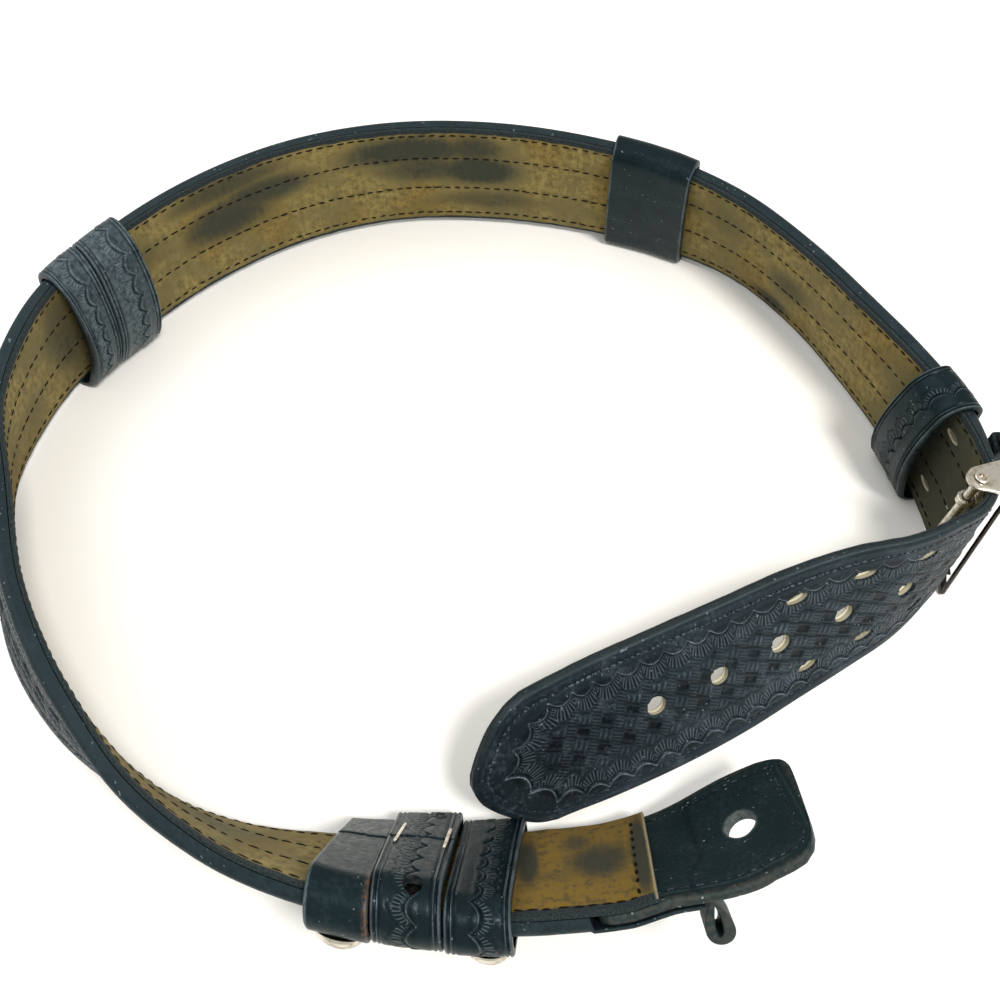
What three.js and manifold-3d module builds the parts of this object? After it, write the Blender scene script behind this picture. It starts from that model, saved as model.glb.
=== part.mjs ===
// A basketweave duty belt lying on its lower edge, closed into a loop by its buckle.
import * as THREE from "three";
import { mergeVertices } from "three/addons/utils/BufferGeometryUtils.js";
import Module from "manifold-3d";

const wasm = await Module();
wasm.setup();
const { Manifold, Mesh: SolidMesh } = wasm;

// Driving sizes, in millimetres. s runs along the strap from the tongue's end,
// w runs across it from its lower edge, and t is its depth, positive outward.
const STRAP_WIDTH = 57;
const HALF_WIDTH = STRAP_WIDTH / 2;
const OUTER_FACE = 3.5;
const OUTER_BACK = -1.6;
const SUEDE_FACE = -3.5;
const SUEDE_BACK = -1.9;
const TONGUE_FACE = -1.55;
const TONGUE_BACK = 1.7;
const SKIVED_BACK = 2.1;
const ROUTE_START = 6.7;
const TONGUE_START = 14.7;
const TONGUE_ROOT = 84;
const SKIVE_END = 86;
const DIAGONAL_LOW = 59;
const DIAGONAL_RUN = 5;
const SUEDE_START = 63;
const TAIL_TIP = 1168;
const TAIL_FACE = 0.9;
const TAIL_SUEDE = -3.1;
const THINNING_START = 915;
const THINNING_END = 958;
const EDGE_ROUND = 2.4;
const TONGUE_ROUND = 1.1;
const TONGUE_CORNER = 6;
const SUEDE_ROUND = 0.5;
const STATION_STEP = 10;
const BEND_STEP = 5;
const ROOT_STATIONS = [66, 69, 72, 75.5, 79, 82, 86];
const BEND_START = 935;
const BEND_END = 1010;
const ROUND_HOLE = 7.6;
const SLOT_LENGTH = 8.2;
const SLOT_WIDTH = 4.4;
const CENTRE_LINE = 29.2;
const SLOT_LOW = 13.4;
const SLOT_HIGH = 45;
// The middle of the belt's box in the route's own plan, which the export moves to the origin.
const CENTRE = { x: -1.565, y: 0.715 };

// The strap's lower edge in plan, its height above the table, and its lean in
// degrees, positive where the top leans outward.
const ROUTE = [
  { x: 110.7, y: -103.1, height: 29.3, lean: 35.7 },
  { x: 84.8, y: -111.5, height: 21.3, lean: 39.1 },
  { x: 60.9, y: -122, height: 12.6, lean: 33.5 },
  { x: 48.5, y: -125.3, height: 9.2, lean: 35 },
  { x: 22.6, y: -128.1, height: 6.4, lean: 35.5 },
  { x: -19, y: -130, height: 5.6, lean: 31 },
  { x: -49, y: -129, height: 5.2, lean: 24 },
  { x: -76.5, y: -126, height: 3.9, lean: 14 },
  { x: -99.5, y: -119.5, height: 3.4, lean: 5 },
  { x: -121, y: -109, height: 3.3, lean: -4 },
  { x: -145, y: -92.5, height: 3.8, lean: -13 },
  { x: -170.5, y: -61.5, height: 4.2, lean: -19.5 },
  { x: -184.5, y: -23.5, height: 4.2, lean: -20 },
  { x: -192.5, y: 12.5, height: 4, lean: -17 },
  { x: -188, y: 41, height: 3.7, lean: -12 },
  { x: -176, y: 71, height: 3.4, lean: -7 },
  { x: -156, y: 95, height: 3.3, lean: -3 },
  { x: -126, y: 126, height: 3.2, lean: -2 },
  { x: -84, y: 153.5, height: 3.2, lean: -3 },
  { x: -41, y: 167, height: 3.3, lean: -5 },
  { x: 4, y: 168, height: 3.3, lean: -5.5 },
  { x: 48.5, y: 160.5, height: 3.4, lean: -7 },
  { x: 89.5, y: 146.5, height: 3.5, lean: -9.5 },
  { x: 117.5, y: 130, height: 3.7, lean: -12.5 },
  { x: 144.5, y: 98, height: 3.7, lean: -12.5 },
  { x: 160, y: 68.5, height: 3.7, lean: -10 },
  { x: 172, y: 40.5, height: 3.7, lean: -6.5 },
  { x: 179, y: 15.5, height: 4.1, lean: -3 },
  { x: 182.0, y: -6, height: 4.8, lean: -1 },
  { x: 182.3, y: -19.9, height: 5.2, lean: -1 },
  { x: 178.7, y: -31.3, height: 5.3, lean: -3.5 },
  { x: 169, y: -42.5, height: 5.2, lean: -8.5 },
  { x: 156.2, y: -54.2, height: 5, lean: -15.5 },
  { x: 137.5, y: -66.5, height: 5, lean: -25.5 },
  { x: 117.7, y: -78.5, height: 4.9, lean: -32 },
  { x: 97.7, y: -90.5, height: 4.6, lean: -36 },
  { x: 74.2, y: -102.5, height: 4.2, lean: -38 },
  { x: 48.7, y: -113.5, height: 3.4, lean: -37 },
  { x: 30.2, y: -120.5, height: 2.9, lean: -33 },
  { x: 10, y: -130, height: 2.3, lean: -27.5 },
];

// The outline of each end: how far back from its tip, and the strap's lower and
// upper edge there.
const TONGUE_OUTLINE = [
  { back: 0, low: 8.5, high: 13 },
  { back: 0.5, low: 5.8, high: 20 },
  { back: 1.7, low: 3.8, high: 32.6 },
  { back: 2.7, low: 2.8, high: 42.7 },
  { back: 3.7, low: 2, high: 49 },
  { back: 5.4, low: 1.1, high: 53.3 },
  { back: 9, low: 0.1, high: 56.5 },
  { back: 13, low: 0, high: 57 },
];
const TAIL_OUTLINE = [
  { back: 0, low: 28, high: 40 },
  { back: 1.5, low: 24.5, high: 44 },
  { back: 4.5, low: 19, high: 47.5 },
  { back: 8, low: 13.5, high: 51.5 },
  { back: 12, low: 8.5, high: 54.2 },
  { back: 17, low: 3.5, high: 56.2 },
  { back: 23, low: 0, high: 57 },
];

const ROUND_HOLES = [998.8, 1024.1, 1049.3, 1074.9, 1100.5];
const SLOT_PAIRS = [931, 956.8, 991.8, 1016.2, 1040.7];
const TONGUE_HOLE = { s: 36.5, w: 29.1, along: 10.4, across: 13, turn: 5 };

// Each keeper band: its stretch of the strap, its lower and upper edge, its inner and
// outer face, its wall, its lower and upper corner radius, how far its inner and outer
// side swell, and how far its two ends slant along the strap per millimetre of height.
const KEEPERS = [
  { name: "keeper_front_right", start: 106.4, end: 126.65, low: -3, high: 61.5, inner: -8.6, outer: 9.2,
    wall: 2.3, corner: 5, cornerHigh: 7.5, swellIn: 0.5, swellOut: 0, slant: 0.115, slantEnd: 0.081 },
  { name: "keeper_front_middle", start: 127.15, end: 147.45, low: -3, high: 61.5, inner: -11.5,
    outer: 9.2, wall: 2.3, corner: 5, cornerHigh: 9, swellIn: 0.5, swellOut: 0, slant: 0.081,
    slantEnd: 0.016 },
  { name: "keeper_front_left", start: 147.95, end: 164, low: -2.8, high: 61.5, inner: -9, outer: 9.6,
    wall: 2, corner: 5, cornerHigh: 8.5, swellIn: 0.5, swellOut: 0, slant: 0.016, slantEnd: 0.03 },
  { name: "keeper_left_front", start: 454.8, end: 472.4, low: -3.2, high: 60.9, inner: -8, outer: 6.8,
    wall: 2.3, corner: 6.3, cornerHigh: 7.2, swellIn: 10, swellOut: 0, slant: 0.14, slantEnd: 0.14 },
  { name: "keeper_left_rear", start: 472.9, end: 494, low: -3.2, high: 60.9, inner: -8, outer: 6.8,
    wall: 2.3, corner: 6.3, cornerHigh: 7.2, swellIn: 10, swellOut: 0, slant: 0.14, slantEnd: 0.1 },
  { name: "keeper_back", start: 726.5, end: 765, low: -3.1, high: 60, inner: -7, outer: 6.7,
    wall: 2.4, corner: 5, cornerHigh: 5.6, swellIn: 1.5, swellOut: 0, slant: 0, slantEnd: 0 },
  { name: "keeper_right", start: 904.4, end: 929, low: -3.2, high: 60, inner: -8, outer: 6,
    wall: 2, corner: 6, cornerHigh: 6, swellIn: 7, swellOut: 0, slant: 0.09, slantEnd: 0 },
];
// Snap caps on the keepers: place, the depth of the face each stands on, and size.
const SNAPS = [
  { name: "snap_front_right", s: 117.2, w: 50, t: 9.5, radius: 6.5, height: 3.6 },
  { name: "snap_front_left", s: 157.2, w: 50, t: 9.9, radius: 6.5, height: 3.6 },
  { name: "snap_left", s: 474, w: 46, t: 7, radius: 3.5, height: 2.8 },
];
// The curled strip's teardrop: its place along the strap, its edges, how far it
// stands out, its breadth and its leather's thickness.
const CURL = {
  s: 52.6, low: 44, high: 54, root: 2.4, length: 15, breadth: 7, thick: 1.4,
  fullness: 1.15, drift: 2, steps: 24,
};
// The buckle: its plain struts by their ends, its far bar's bends, ears and hinge pin.
const BUCKLE = {
  thick: 2.2, rail: 3.6, top: 64.4,
  near: { x: 188.5, y: -1, breadth: 4 },
  farFoot: [181.3, -34.5], farTop: [185.9, -23.5],
  barBends: [[183.9, -26, 50], [184.9, -24.4, 58]], barRadius: 0.9,
  ears: [2.4, 62.9], earThick: 1.5, earRadius: 5, earFrom: -27.5, earTo: -11.5, earEnd: 187,
  pin: [174, -20.3], pinRadius: 1.7,
};
const PIN_CLEARANCE = 0.3;
const PRONG_SLOT = 956.8;
const PRONG_RADIUS = 1.15;
const PRONG_TIP = 3.6;
const TAB = { bottom: 8, top: 58, wall: 2 };
const CORNER_STEPS = 4;
const SIDE_STEPS = 6;

const LEATHER = { color: 0x15191c, roughness: 0.5, metalness: 0 };
const SUEDE = { color: 0x7a6a45, roughness: 0.95, metalness: 0 };
const NICKEL = { color: 0xc9c3b6, roughness: 0.28, metalness: 1 };

const columns = ["x", "y", "height", "lean"];
const alongRoute = [ROUTE_START];
for (let i = 1; i < ROUTE.length; i += 1) {
  const dx = ROUTE[i].x - ROUTE[i - 1].x;
  const dy = ROUTE[i].y - ROUTE[i - 1].y;
  alongRoute.push(alongRoute[i - 1] + Math.hypot(dx, dy));
}

// The slope of one column at each station, from the parabola through its neighbours.
function slopesOf(column) {
  const last = ROUTE.length - 1;
  const chord = [];
  for (let i = 0; i < last; i += 1) {
    const gap = alongRoute[i + 1] - alongRoute[i];
    chord.push((ROUTE[i + 1][column] - ROUTE[i][column]) / gap);
  }
  const slope = [];
  for (let i = 1; i < last; i += 1) {
    const before = alongRoute[i] - alongRoute[i - 1];
    const after = alongRoute[i + 1] - alongRoute[i];
    slope[i] = (chord[i - 1] * after + chord[i] * before) / (before + after);
  }
  slope[0] = 2 * chord[0] - slope[1];
  slope[last] = 2 * chord[last - 1] - slope[last - 1];
  return slope;
}

const slopes = Object.fromEntries(columns.map((column) => [column, slopesOf(column)]));

// Each column's value and slope at s, on a cubic through the stations.
function routeAt(s) {
  let i = 0;
  while (i < ROUTE.length - 2 && alongRoute[i + 1] < s) {
    i += 1;
  }
  const h = alongRoute[i + 1] - alongRoute[i];
  const f = (s - alongRoute[i]) / h;
  const value = {};
  const slope = {};
  for (const column of columns) {
    const a = ROUTE[i][column];
    const b = ROUTE[i + 1][column];
    const ma = slopes[column][i] * h;
    const mb = slopes[column][i + 1] * h;
    value[column] = (2 * f ** 3 - 3 * f ** 2 + 1) * a + (f ** 3 - 2 * f ** 2 + f) * ma
      + (-2 * f ** 3 + 3 * f ** 2) * b + (f ** 3 - f ** 2) * mb;
    slope[column] = ((6 * f ** 2 - 6 * f) * a + (3 * f ** 2 - 4 * f + 1) * ma
      + (-6 * f ** 2 + 6 * f) * b + (3 * f ** 2 - 2 * f) * mb) / h;
  }
  return { value, slope };
}

// The strap's own axes at s: origin on the lower edge's middle depth, along, across, outward.
function frameAt(s) {
  const { value, slope } = routeAt(s);
  const along = new THREE.Vector3(slope.x, slope.y, slope.height).normalize();
  const level = new THREE.Vector3(-slope.y, slope.x, 0).normalize();
  const up = new THREE.Vector3().crossVectors(along, level);
  const lean = THREE.MathUtils.degToRad(value.lean);
  const across = up.clone().multiplyScalar(Math.cos(lean)).addScaledVector(level, Math.sin(lean));
  const outward = level.clone().multiplyScalar(Math.cos(lean)).addScaledVector(up, -Math.sin(lean));
  const origin = new THREE.Vector3(value.x, value.y, value.height);
  return { origin, along, across, outward };
}

function pointAt(s, w, t) {
  const { origin, across, outward } = frameAt(s);
  return origin.clone().addScaledVector(across, w).addScaledVector(outward, t);
}

// A solid skinned over rings of points; inner rings, where given, make it a tube.
function skin(rings, innerRings) {
  const count = rings[0].length;
  const positions = [];
  const index = [];
  const last = rings.length - 1;
  const all = rings.concat(innerRings ?? []).flat();
  for (const p of all) {
    positions.push(p.x, p.y, p.z);
  }
  for (let i = 0; i < last; i += 1) {
    for (let j = 0; j < count; j += 1) {
      const a = i * count + j;
      const b = i * count + ((j + 1) % count);
      const c = b + count;
      const d = a + count;
      if (all[a].distanceTo(all[c]) < all[b].distanceTo(all[d])) {
        index.push(a, b, c, a, c, d);
      } else {
        index.push(a, b, d, b, c, d);
      }
    }
  }
  if (innerRings) {
    const shift = rings.length * count;
    for (let i = 0; i < last; i += 1) {
      for (let j = 0; j < count; j += 1) {
        const a = shift + i * count + j;
        const b = shift + i * count + ((j + 1) % count);
        index.push(a, b + count, b, a, a + count, b + count);
      }
    }
    for (let j = 0; j < count; j += 1) {
      const k = (j + 1) % count;
      index.push(j, shift + j, shift + k, j, shift + k, k);
      const far = last * count;
      index.push(far + j, far + shift + k, far + shift + j, far + j, far + k, far + shift + k);
    }
  } else {
    for (const [ring, start, turned] of [[rings[0], 0, true], [rings[last], last * count, false]]) {
      for (const [a, b, c] of capTriangles(ring)) {
        index.push(start + a, start + (turned ? c : b), start + (turned ? b : c));
      }
    }
  }
  const geometry = new THREE.BufferGeometry();
  geometry.setAttribute("position", new THREE.Float32BufferAttribute(positions, 3));
  geometry.setIndex(index);
  return geometry;
}

// The triangles that fill a flat ring, wound as the ring is.
function capTriangles(ring) {
  const normal = new THREE.Vector3();
  for (let j = 1; j < ring.length - 1; j += 1) {
    const a = ring[j].clone().sub(ring[0]);
    const b = ring[j + 1].clone().sub(ring[0]);
    normal.add(a.cross(b));
  }
  normal.normalize();
  const across = ring[1].clone().sub(ring[0]).normalize();
  const up = new THREE.Vector3().crossVectors(normal, across);
  const flat = ring.map((p) => new THREE.Vector2(p.dot(across), p.dot(up)));
  return THREE.ShapeUtils.triangulateShape(flat, []);
}

function solidOf(geometry) {
  const bare = geometry.clone();
  bare.deleteAttribute("normal");
  bare.deleteAttribute("uv");
  const merged = mergeVertices(bare, 1e-4);
  return new Manifold(new SolidMesh({
    numProp: 3,
    vertProperties: merged.attributes.position.array,
    triVerts: new Uint32Array(merged.index.array),
  }));
}

function meshOf(name, solid, look) {
  const made = solid.getMesh();
  const geometry = new THREE.BufferGeometry();
  geometry.setAttribute("position", new THREE.BufferAttribute(made.vertProperties, 3));
  geometry.setIndex(new THREE.BufferAttribute(made.triVerts, 1));
  const flat = geometry.toNonIndexed();
  flat.computeVertexNormals();
  const mesh = new THREE.Mesh(flat, new THREE.MeshStandardMaterial(look));
  mesh.name = name;
  return mesh;
}

// The values of s where the strap's rings lie, between two ends.
function stations(start, end) {
  const list = [start].concat(ROOT_STATIONS.filter((s) => s > start + 1));
  const first = list[list.length - 1] + 1;
  for (let s = Math.ceil(first / BEND_STEP) * BEND_STEP; s < end - 1; s += BEND_STEP) {
    const inBend = s > BEND_START && s < BEND_END;
    if (inBend || s % STATION_STEP === 0) {
      list.push(s);
    }
  }
  list.push(end);
  return list;
}

// The strap's lower and upper edge at a distance back from an outlined end.
function edgesAt(outline, back) {
  const last = outline[outline.length - 1];
  if (back >= last.back) {
    return { low: last.low, high: last.high };
  }
  let i = 0;
  while (outline[i + 1].back < back) {
    i += 1;
  }
  const f = (back - outline[i].back) / (outline[i + 1].back - outline[i].back);
  const low = outline[i].low + f * (outline[i + 1].low - outline[i].low);
  const high = outline[i].high + f * (outline[i + 1].high - outline[i].high);
  return { low, high };
}

// A ply's section, its outer edges rounded: pairs of w and t.
function plySection(low, high, face, back, round) {
  const r = Math.min(round, (high - low) / 3);
  const cut = 0.3 * r;
  return [
    [low, face],
    [low, back - r],
    [low + cut, back - cut],
    [low + r, back],
    [high - r, back],
    [high - cut, back - cut],
    [high, back - r],
    [high, face],
  ];
}

function ringAt(s, section) {
  return section.map(([w, t]) => pointAt(s, w, t));
}

// The depth of one of the strap's faces at s: the strap thins past the buckle.
function faceAt(s, face, tailFace) {
  const f = THREE.MathUtils.smoothstep(s, THINNING_START, THINNING_END);
  return face + f * (tailFace - face);
}

// Cuts across the ply: an oval prism along the strap's outward axis.
function ovalCutter(s, w, along, across, turn, steps) {
  const { along: a, across: c, outward } = frameAt(s);
  const centre = pointAt(s, w, 0);
  const spin = THREE.MathUtils.degToRad(turn);
  const rings = [-12, 12].map((t) => {
    const ring = [];
    for (let k = 0; k < steps; k += 1) {
      const angle = (2 * Math.PI * k) / steps;
      const u = (along / 2) * Math.cos(angle);
      const v = (across / 2) * Math.sin(angle);
      const p = centre.clone().addScaledVector(outward, t);
      p.addScaledVector(a, u * Math.cos(spin) + v * Math.sin(spin));
      p.addScaledVector(c, v * Math.cos(spin) - u * Math.sin(spin));
      ring.push(p);
    }
    return ring.reverse();
  });
  return solidOf(skin(rings));
}

function strapCutters() {
  const cutters = ROUND_HOLES.map((s) => ovalCutter(s, CENTRE_LINE, ROUND_HOLE, ROUND_HOLE, 0, 14));
  for (const s of SLOT_PAIRS) {
    for (const w of [SLOT_LOW, SLOT_HIGH]) {
      cutters.push(ovalCutter(s, w, SLOT_LENGTH, SLOT_WIDTH, 0, 10));
    }
  }
  return Manifold.union(cutters);
}

// The rings' places from a start to the tail's tip, and the strap's edges at each.
function tailward(start) {
  const tail = TAIL_OUTLINE.map((row) => TAIL_TIP - row.back).reverse();
  return stations(start, tail[0]).slice(0, -1).concat(tail).map((s) => {
    return { s, ...edgesAt(TAIL_OUTLINE, TAIL_TIP - s) };
  });
}

// The tooled outer ply. Its first stretch is skived to lie over the tongue's root.
function outerStrap(cutters) {
  const rings = [DIAGONAL_LOW, ...ROOT_STATIONS.slice(0, -1), SKIVE_END - 0.3].map((s, i) => {
    const slide = i === 0 ? DIAGONAL_RUN / STRAP_WIDTH : 0;
    const section = plySection(0, STRAP_WIDTH, SKIVED_BACK, OUTER_FACE, 1.2);
    return section.map(([w, t]) => pointAt(s - slide * w, w, t));
  });
  for (const { s, low, high } of tailward(SKIVE_END)) {
    const face = faceAt(s, OUTER_FACE, TAIL_FACE);
    rings.push(ringAt(s, plySection(low, high, OUTER_BACK, face, Math.min(EDGE_ROUND, face + 1.1))));
  }
  return solidOf(skin(rings)).subtract(cutters);
}

function suedeLining(cutters) {
  const rings = tailward(SUEDE_START).map(({ s, low, high }) => {
    const face = faceAt(s, SUEDE_FACE, TAIL_SUEDE);
    return ringAt(s, [
      [low, SUEDE_BACK],
      [high, SUEDE_BACK],
      [high, face + SUEDE_ROUND],
      [high - SUEDE_ROUND, face],
      [low + SUEDE_ROUND, face],
      [low, face + SUEDE_ROUND],
    ]);
  });
  return solidOf(skin(rings)).subtract(cutters);
}

// The plain end piece with its oval hole; its root is held between the plies.
function tongue() {
  const tip = TONGUE_OUTLINE.map((row) => TONGUE_START + row.back);
  const places = tip.concat([36, 42, 48, 54, 59, 63, ...ROOT_STATIONS.slice(0, -1), TONGUE_ROOT]);
  const rings = places.map((s) => {
    const { low, high } = edgesAt(TONGUE_OUTLINE, s - TONGUE_START);
    const root = Math.max(0, s - (TONGUE_ROOT - TONGUE_CORNER));
    const inset = TONGUE_CORNER - Math.sqrt(Math.max(0.1, TONGUE_CORNER ** 2 - root ** 2));
    const r = Math.min(TONGUE_ROUND, (high - low) / 4);
    const bottom = low + inset;
    const top = high - inset;
    return ringAt(s, [
      [bottom, TONGUE_FACE + r],
      [bottom, TONGUE_BACK - r],
      [bottom + r, TONGUE_BACK],
      [top - r, TONGUE_BACK],
      [top, TONGUE_BACK - r],
      [top, TONGUE_FACE + r],
      [top - r, TONGUE_FACE],
      [bottom + r, TONGUE_FACE],
    ]);
  });
  const { s, w, along, across, turn } = TONGUE_HOLE;
  return solidOf(skin(rings)).subtract(ovalCutter(s, w, along, across, turn, 20));
}

// The strip that curls out from under the tongue: a teardrop loop on edge.
function chapeStrip() {
  const { s, low, high, length, breadth, thick } = CURL;
  const loop = (inset) => {
    const points = [];
    for (let k = 0; k < CURL.steps; k += 1) {
      const angle = (2 * Math.PI * k) / CURL.steps;
      const depth = (1 - Math.cos(angle)) / 2;
      const half = (breadth / 2 - inset) * Math.sin(angle) * Math.sqrt(Math.max(depth, 0.02));
      const t = CURL.root + inset + (length - 2 * inset) * depth;
      points.push([s + half * CURL.fullness + CURL.drift * depth, t]);
    }
    return points;
  };
  const levels = [low, (low + high) / 2, high];
  const rings = (inset) => levels.map((w) => loop(inset).map(([ss, t]) => pointAt(ss, w, t)));
  return solidOf(skin(rings(0), rings(thick)));
}

// A keeper's closed section at an inset from its outer surface: pairs of w and t.
function keeperLoop(k, inset) {
  const low = k.low + inset;
  const high = k.high - inset;
  const inner = k.inner + inset;
  const outer = k.outer - inset;
  const r = Math.max(k.corner - inset, 1);
  const rHigh = Math.max(k.cornerHigh - inset, 1);
  const corners = [
    { w: low + r, t: outer - r, r, from: -90 },
    { w: high - rHigh, t: outer - rHigh, r: rHigh, from: 0 },
    { w: high - rHigh, t: inner + rHigh, r: rHigh, from: 90 },
    { w: low + r, t: inner + r, r, from: 180 },
  ];
  const loop = [];
  corners.forEach((corner, i) => {
    for (let j = 0; j <= CORNER_STEPS; j += 1) {
      const angle = THREE.MathUtils.degToRad(corner.from + (90 * j) / CORNER_STEPS);
      loop.push([corner.w + corner.r * Math.sin(angle), corner.t + corner.r * Math.cos(angle)]);
    }
    if (i % 2 === 0) {
      const [w0, t0] = loop[loop.length - 1];
      const run = high - low - r - rHigh;
      for (let j = 1; j < SIDE_STEPS; j += 1) {
        loop.push([w0 + ((i === 0 ? 1 : -1) * run * j) / SIDE_STEPS, t0]);
      }
    }
  });
  const middle = (k.low + k.high) / 2;
  const half = (k.high - k.low) / 2;
  const depth = (k.inner + k.outer) / 2;
  return loop.map(([w, t]) => {
    const bulge = Math.max(0, 1 - ((w - middle) / half) ** 2);
    const share = THREE.MathUtils.clamp((depth - t) / (depth - k.inner), -1, 1);
    const swell = share > 0 ? k.swellIn * share : k.swellOut * share;
    return [w, t - swell * bulge];
  });
}

function keeper(k) {
  const rings = (inset) => [0, 0.33, 0.67, 1].map((f) => {
    const s = k.start + f * (k.end - k.start);
    const slant = k.slant + f * (k.slantEnd - k.slant);
    return keeperLoop(k, inset).map(([w, t]) => pointAt(s + slant * (w - HALF_WIDTH), w, t));
  });
  return solidOf(skin(rings(0), rings(k.wall)));
}

// A domed snap cap standing on a face at depth t.
function snapCap({ s, w, t, radius, height }) {
  const base = pointAt(s, w, t);
  const along = pointAt(s + 1, w, t).sub(pointAt(s - 1, w, t)).normalize();
  const outward = along.clone().cross(frameAt(s).across).normalize().negate();
  const across = along.clone().cross(outward);
  const profile = [[1, 0], [1, 0.35], [0.86, 0.72], [0.55, 0.95], [0.2, 1]];
  const rings = profile.map(([share, rise]) => {
    const ring = [];
    for (let k = 0; k < 20; k += 1) {
      const angle = (2 * Math.PI * k) / 20;
      const p = base.clone().addScaledVector(outward, rise * height);
      p.addScaledVector(across, share * radius * Math.cos(angle));
      p.addScaledVector(along, share * radius * Math.sin(angle));
      ring.push(p);
    }
    return ring;
  });
  return solidOf(skin(rings));
}

// A round rod along a line of points.
function rod(points, radius, sides) {
  const path = new THREE.CatmullRomCurve3(points, false, "catmullrom", 0);
  const disc = new THREE.Shape().absarc(0, 0, radius, 0, 2 * Math.PI, false);
  const shape = new THREE.Shape(disc.getPoints(sides / 2).slice(0, -1));
  const steps = (points.length - 1) * 2;
  return solidOf(new THREE.ExtrudeGeometry(shape, { steps, extrudePath: path, curveSegments: 1 }));
}

function upright(radius, bottom, top, x, y, sides) {
  return Manifold.cylinder(top - bottom, radius, radius, sides).translate([x, y, bottom]);
}

function plate(shape, thick) {
  return solidOf(new THREE.ExtrudeGeometry(shape, { depth: thick, bevelEnabled: false, curveSegments: 6 }));
}

// A straight strut: the hull of the same small box at both ends.
function strut(from, to, size) {
  const ends = [from, to].map((p) => Manifold.cube(size, true).translate(p));
  return Manifold.hull(ends);
}

function buckleFrame() {
  const { thick, rail, top, near, farFoot, farTop, ears, earThick, pin } = BUCKLE;
  const footRail = [thick, 0.5, rail];
  const headRail = [thick, 0.5, top - ears[1] + 1.5];
  const foot = [...farFoot, rail / 2];
  const head = [...farTop, top - headRail[2] / 2];
  const bottom = strut(foot, [near.x, near.y, foot[2]], footRail);
  const upper = strut(head, [near.x, near.y, head[2]], headRail);
  const nearSize = [thick, near.breadth, 0.5];
  const side = strut([near.x, near.y, 0.25], [near.x, near.y, top - 0.25], nearSize);
  const bar = rod([foot, ...BUCKLE.barBends, head].map((p) => new THREE.Vector3(...p)), BUCKLE.barRadius, 12);
  const plates = ears.map((level) => {
    const ear = new THREE.Shape();
    ear.absarc(pin[0], pin[1], BUCKLE.earRadius, Math.PI * 0.55, Math.PI * 1.4, false);
    ear.lineTo(BUCKLE.earEnd - 1.5, BUCKLE.earFrom);
    ear.lineTo(BUCKLE.earEnd, BUCKLE.earTo);
    ear.closePath();
    return plate(ear, earThick).translate([0, 0, level]);
  });
  const bore = upright(BUCKLE.pinRadius + PIN_CLEARANCE, -5, top + 10, pin[0], pin[1], 16);
  const joined = Manifold.union([bottom, upper, side, bar, ...plates]).subtract(bore);
  return joined.trimByPlane([0, 0, 1], 0);
}

function bucklePin() {
  const { pin, pinRadius, ears, earThick } = BUCKLE;
  const [low, high] = ears;
  const [x, y] = pin;
  const top = high + earThick + PIN_CLEARANCE;
  return Manifold.union([
    upright(pinRadius, low - 1, top + 0.6, x, y, 16),
    upright(pinRadius + 0.9, top, top + 0.9, x, y, 16),
    upright(pinRadius + 0.9, low - 1.2, low - PIN_CLEARANCE, x, y, 16),
  ]);
}

// A prong: an eye about the pin and a rod out through the strap's slot.
function prong(w) {
  const { pin, pinRadius } = BUCKLE;
  const tip = pointAt(PRONG_SLOT, w, PRONG_TIP);
  const start = new THREE.Vector3(...pin, tip.z);
  const way = tip.clone().sub(start).normalize();
  const near = start.clone().addScaledVector(way, pinRadius + PIN_CLEARANCE + 0.4);
  const eye = upright(pinRadius + PIN_CLEARANCE + 1.2, start.z - 1.5, start.z + 1.5, ...pin, 20);
  const bore = upright(pinRadius + PIN_CLEARANCE, start.z - 4, start.z + 4, ...pin, 16);
  return Manifold.union([eye, rod([near, tip], PRONG_RADIUS, 12)]).subtract(bore);
}

// The leather sleeve about the frame's near bar.
function buckleTab() {
  const { thick, near } = BUCKLE;
  const height = TAB.top - TAB.bottom;
  const bore = [thick + 2 * PIN_CLEARANCE, near.breadth + 2 * PIN_CLEARANCE, height + 4];
  const round = new THREE.Shape();
  const x = bore[0] / 2 + TAB.wall;
  const y = bore[1] / 2 + TAB.wall;
  round.absarc(x - TAB.wall, y - TAB.wall, TAB.wall, 0, Math.PI / 2, false);
  round.absarc(TAB.wall - x, y - TAB.wall, TAB.wall, Math.PI / 2, Math.PI, false);
  round.absarc(TAB.wall - x, TAB.wall - y, TAB.wall, Math.PI, Math.PI * 1.5, false);
  round.absarc(x - TAB.wall, TAB.wall - y, TAB.wall, Math.PI * 1.5, Math.PI * 2, false);
  const sleeve = plate(round, height).subtract(Manifold.cube(bore, true).translate([0, 0, height / 2]));
  return sleeve.translate([near.x, near.y, TAB.bottom]);
}

const belt = new THREE.Group();
belt.position.set(-CENTRE.x, -CENTRE.y, 0);
const cutters = strapCutters();
belt.add(meshOf("outer_strap", outerStrap(cutters), LEATHER));
belt.add(meshOf("suede_lining", suedeLining(cutters), SUEDE));
belt.add(meshOf("tongue", tongue(), LEATHER));
belt.add(meshOf("chape_strip", chapeStrip(), LEATHER));
for (const k of KEEPERS) {
  belt.add(meshOf(k.name, keeper(k), LEATHER));
}
for (const snap of SNAPS) {
  belt.add(meshOf(snap.name, snapCap(snap), NICKEL));
}
belt.add(meshOf("buckle_frame", buckleFrame(), NICKEL));
belt.add(meshOf("buckle_pin", bucklePin(), NICKEL));
belt.add(meshOf("buckle_prong_upper", prong(SLOT_HIGH), NICKEL));
belt.add(meshOf("buckle_prong_lower", prong(SLOT_LOW), NICKEL));
belt.add(meshOf("buckle_tab", buckleTab(), LEATHER));

export default belt;
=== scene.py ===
import math

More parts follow.
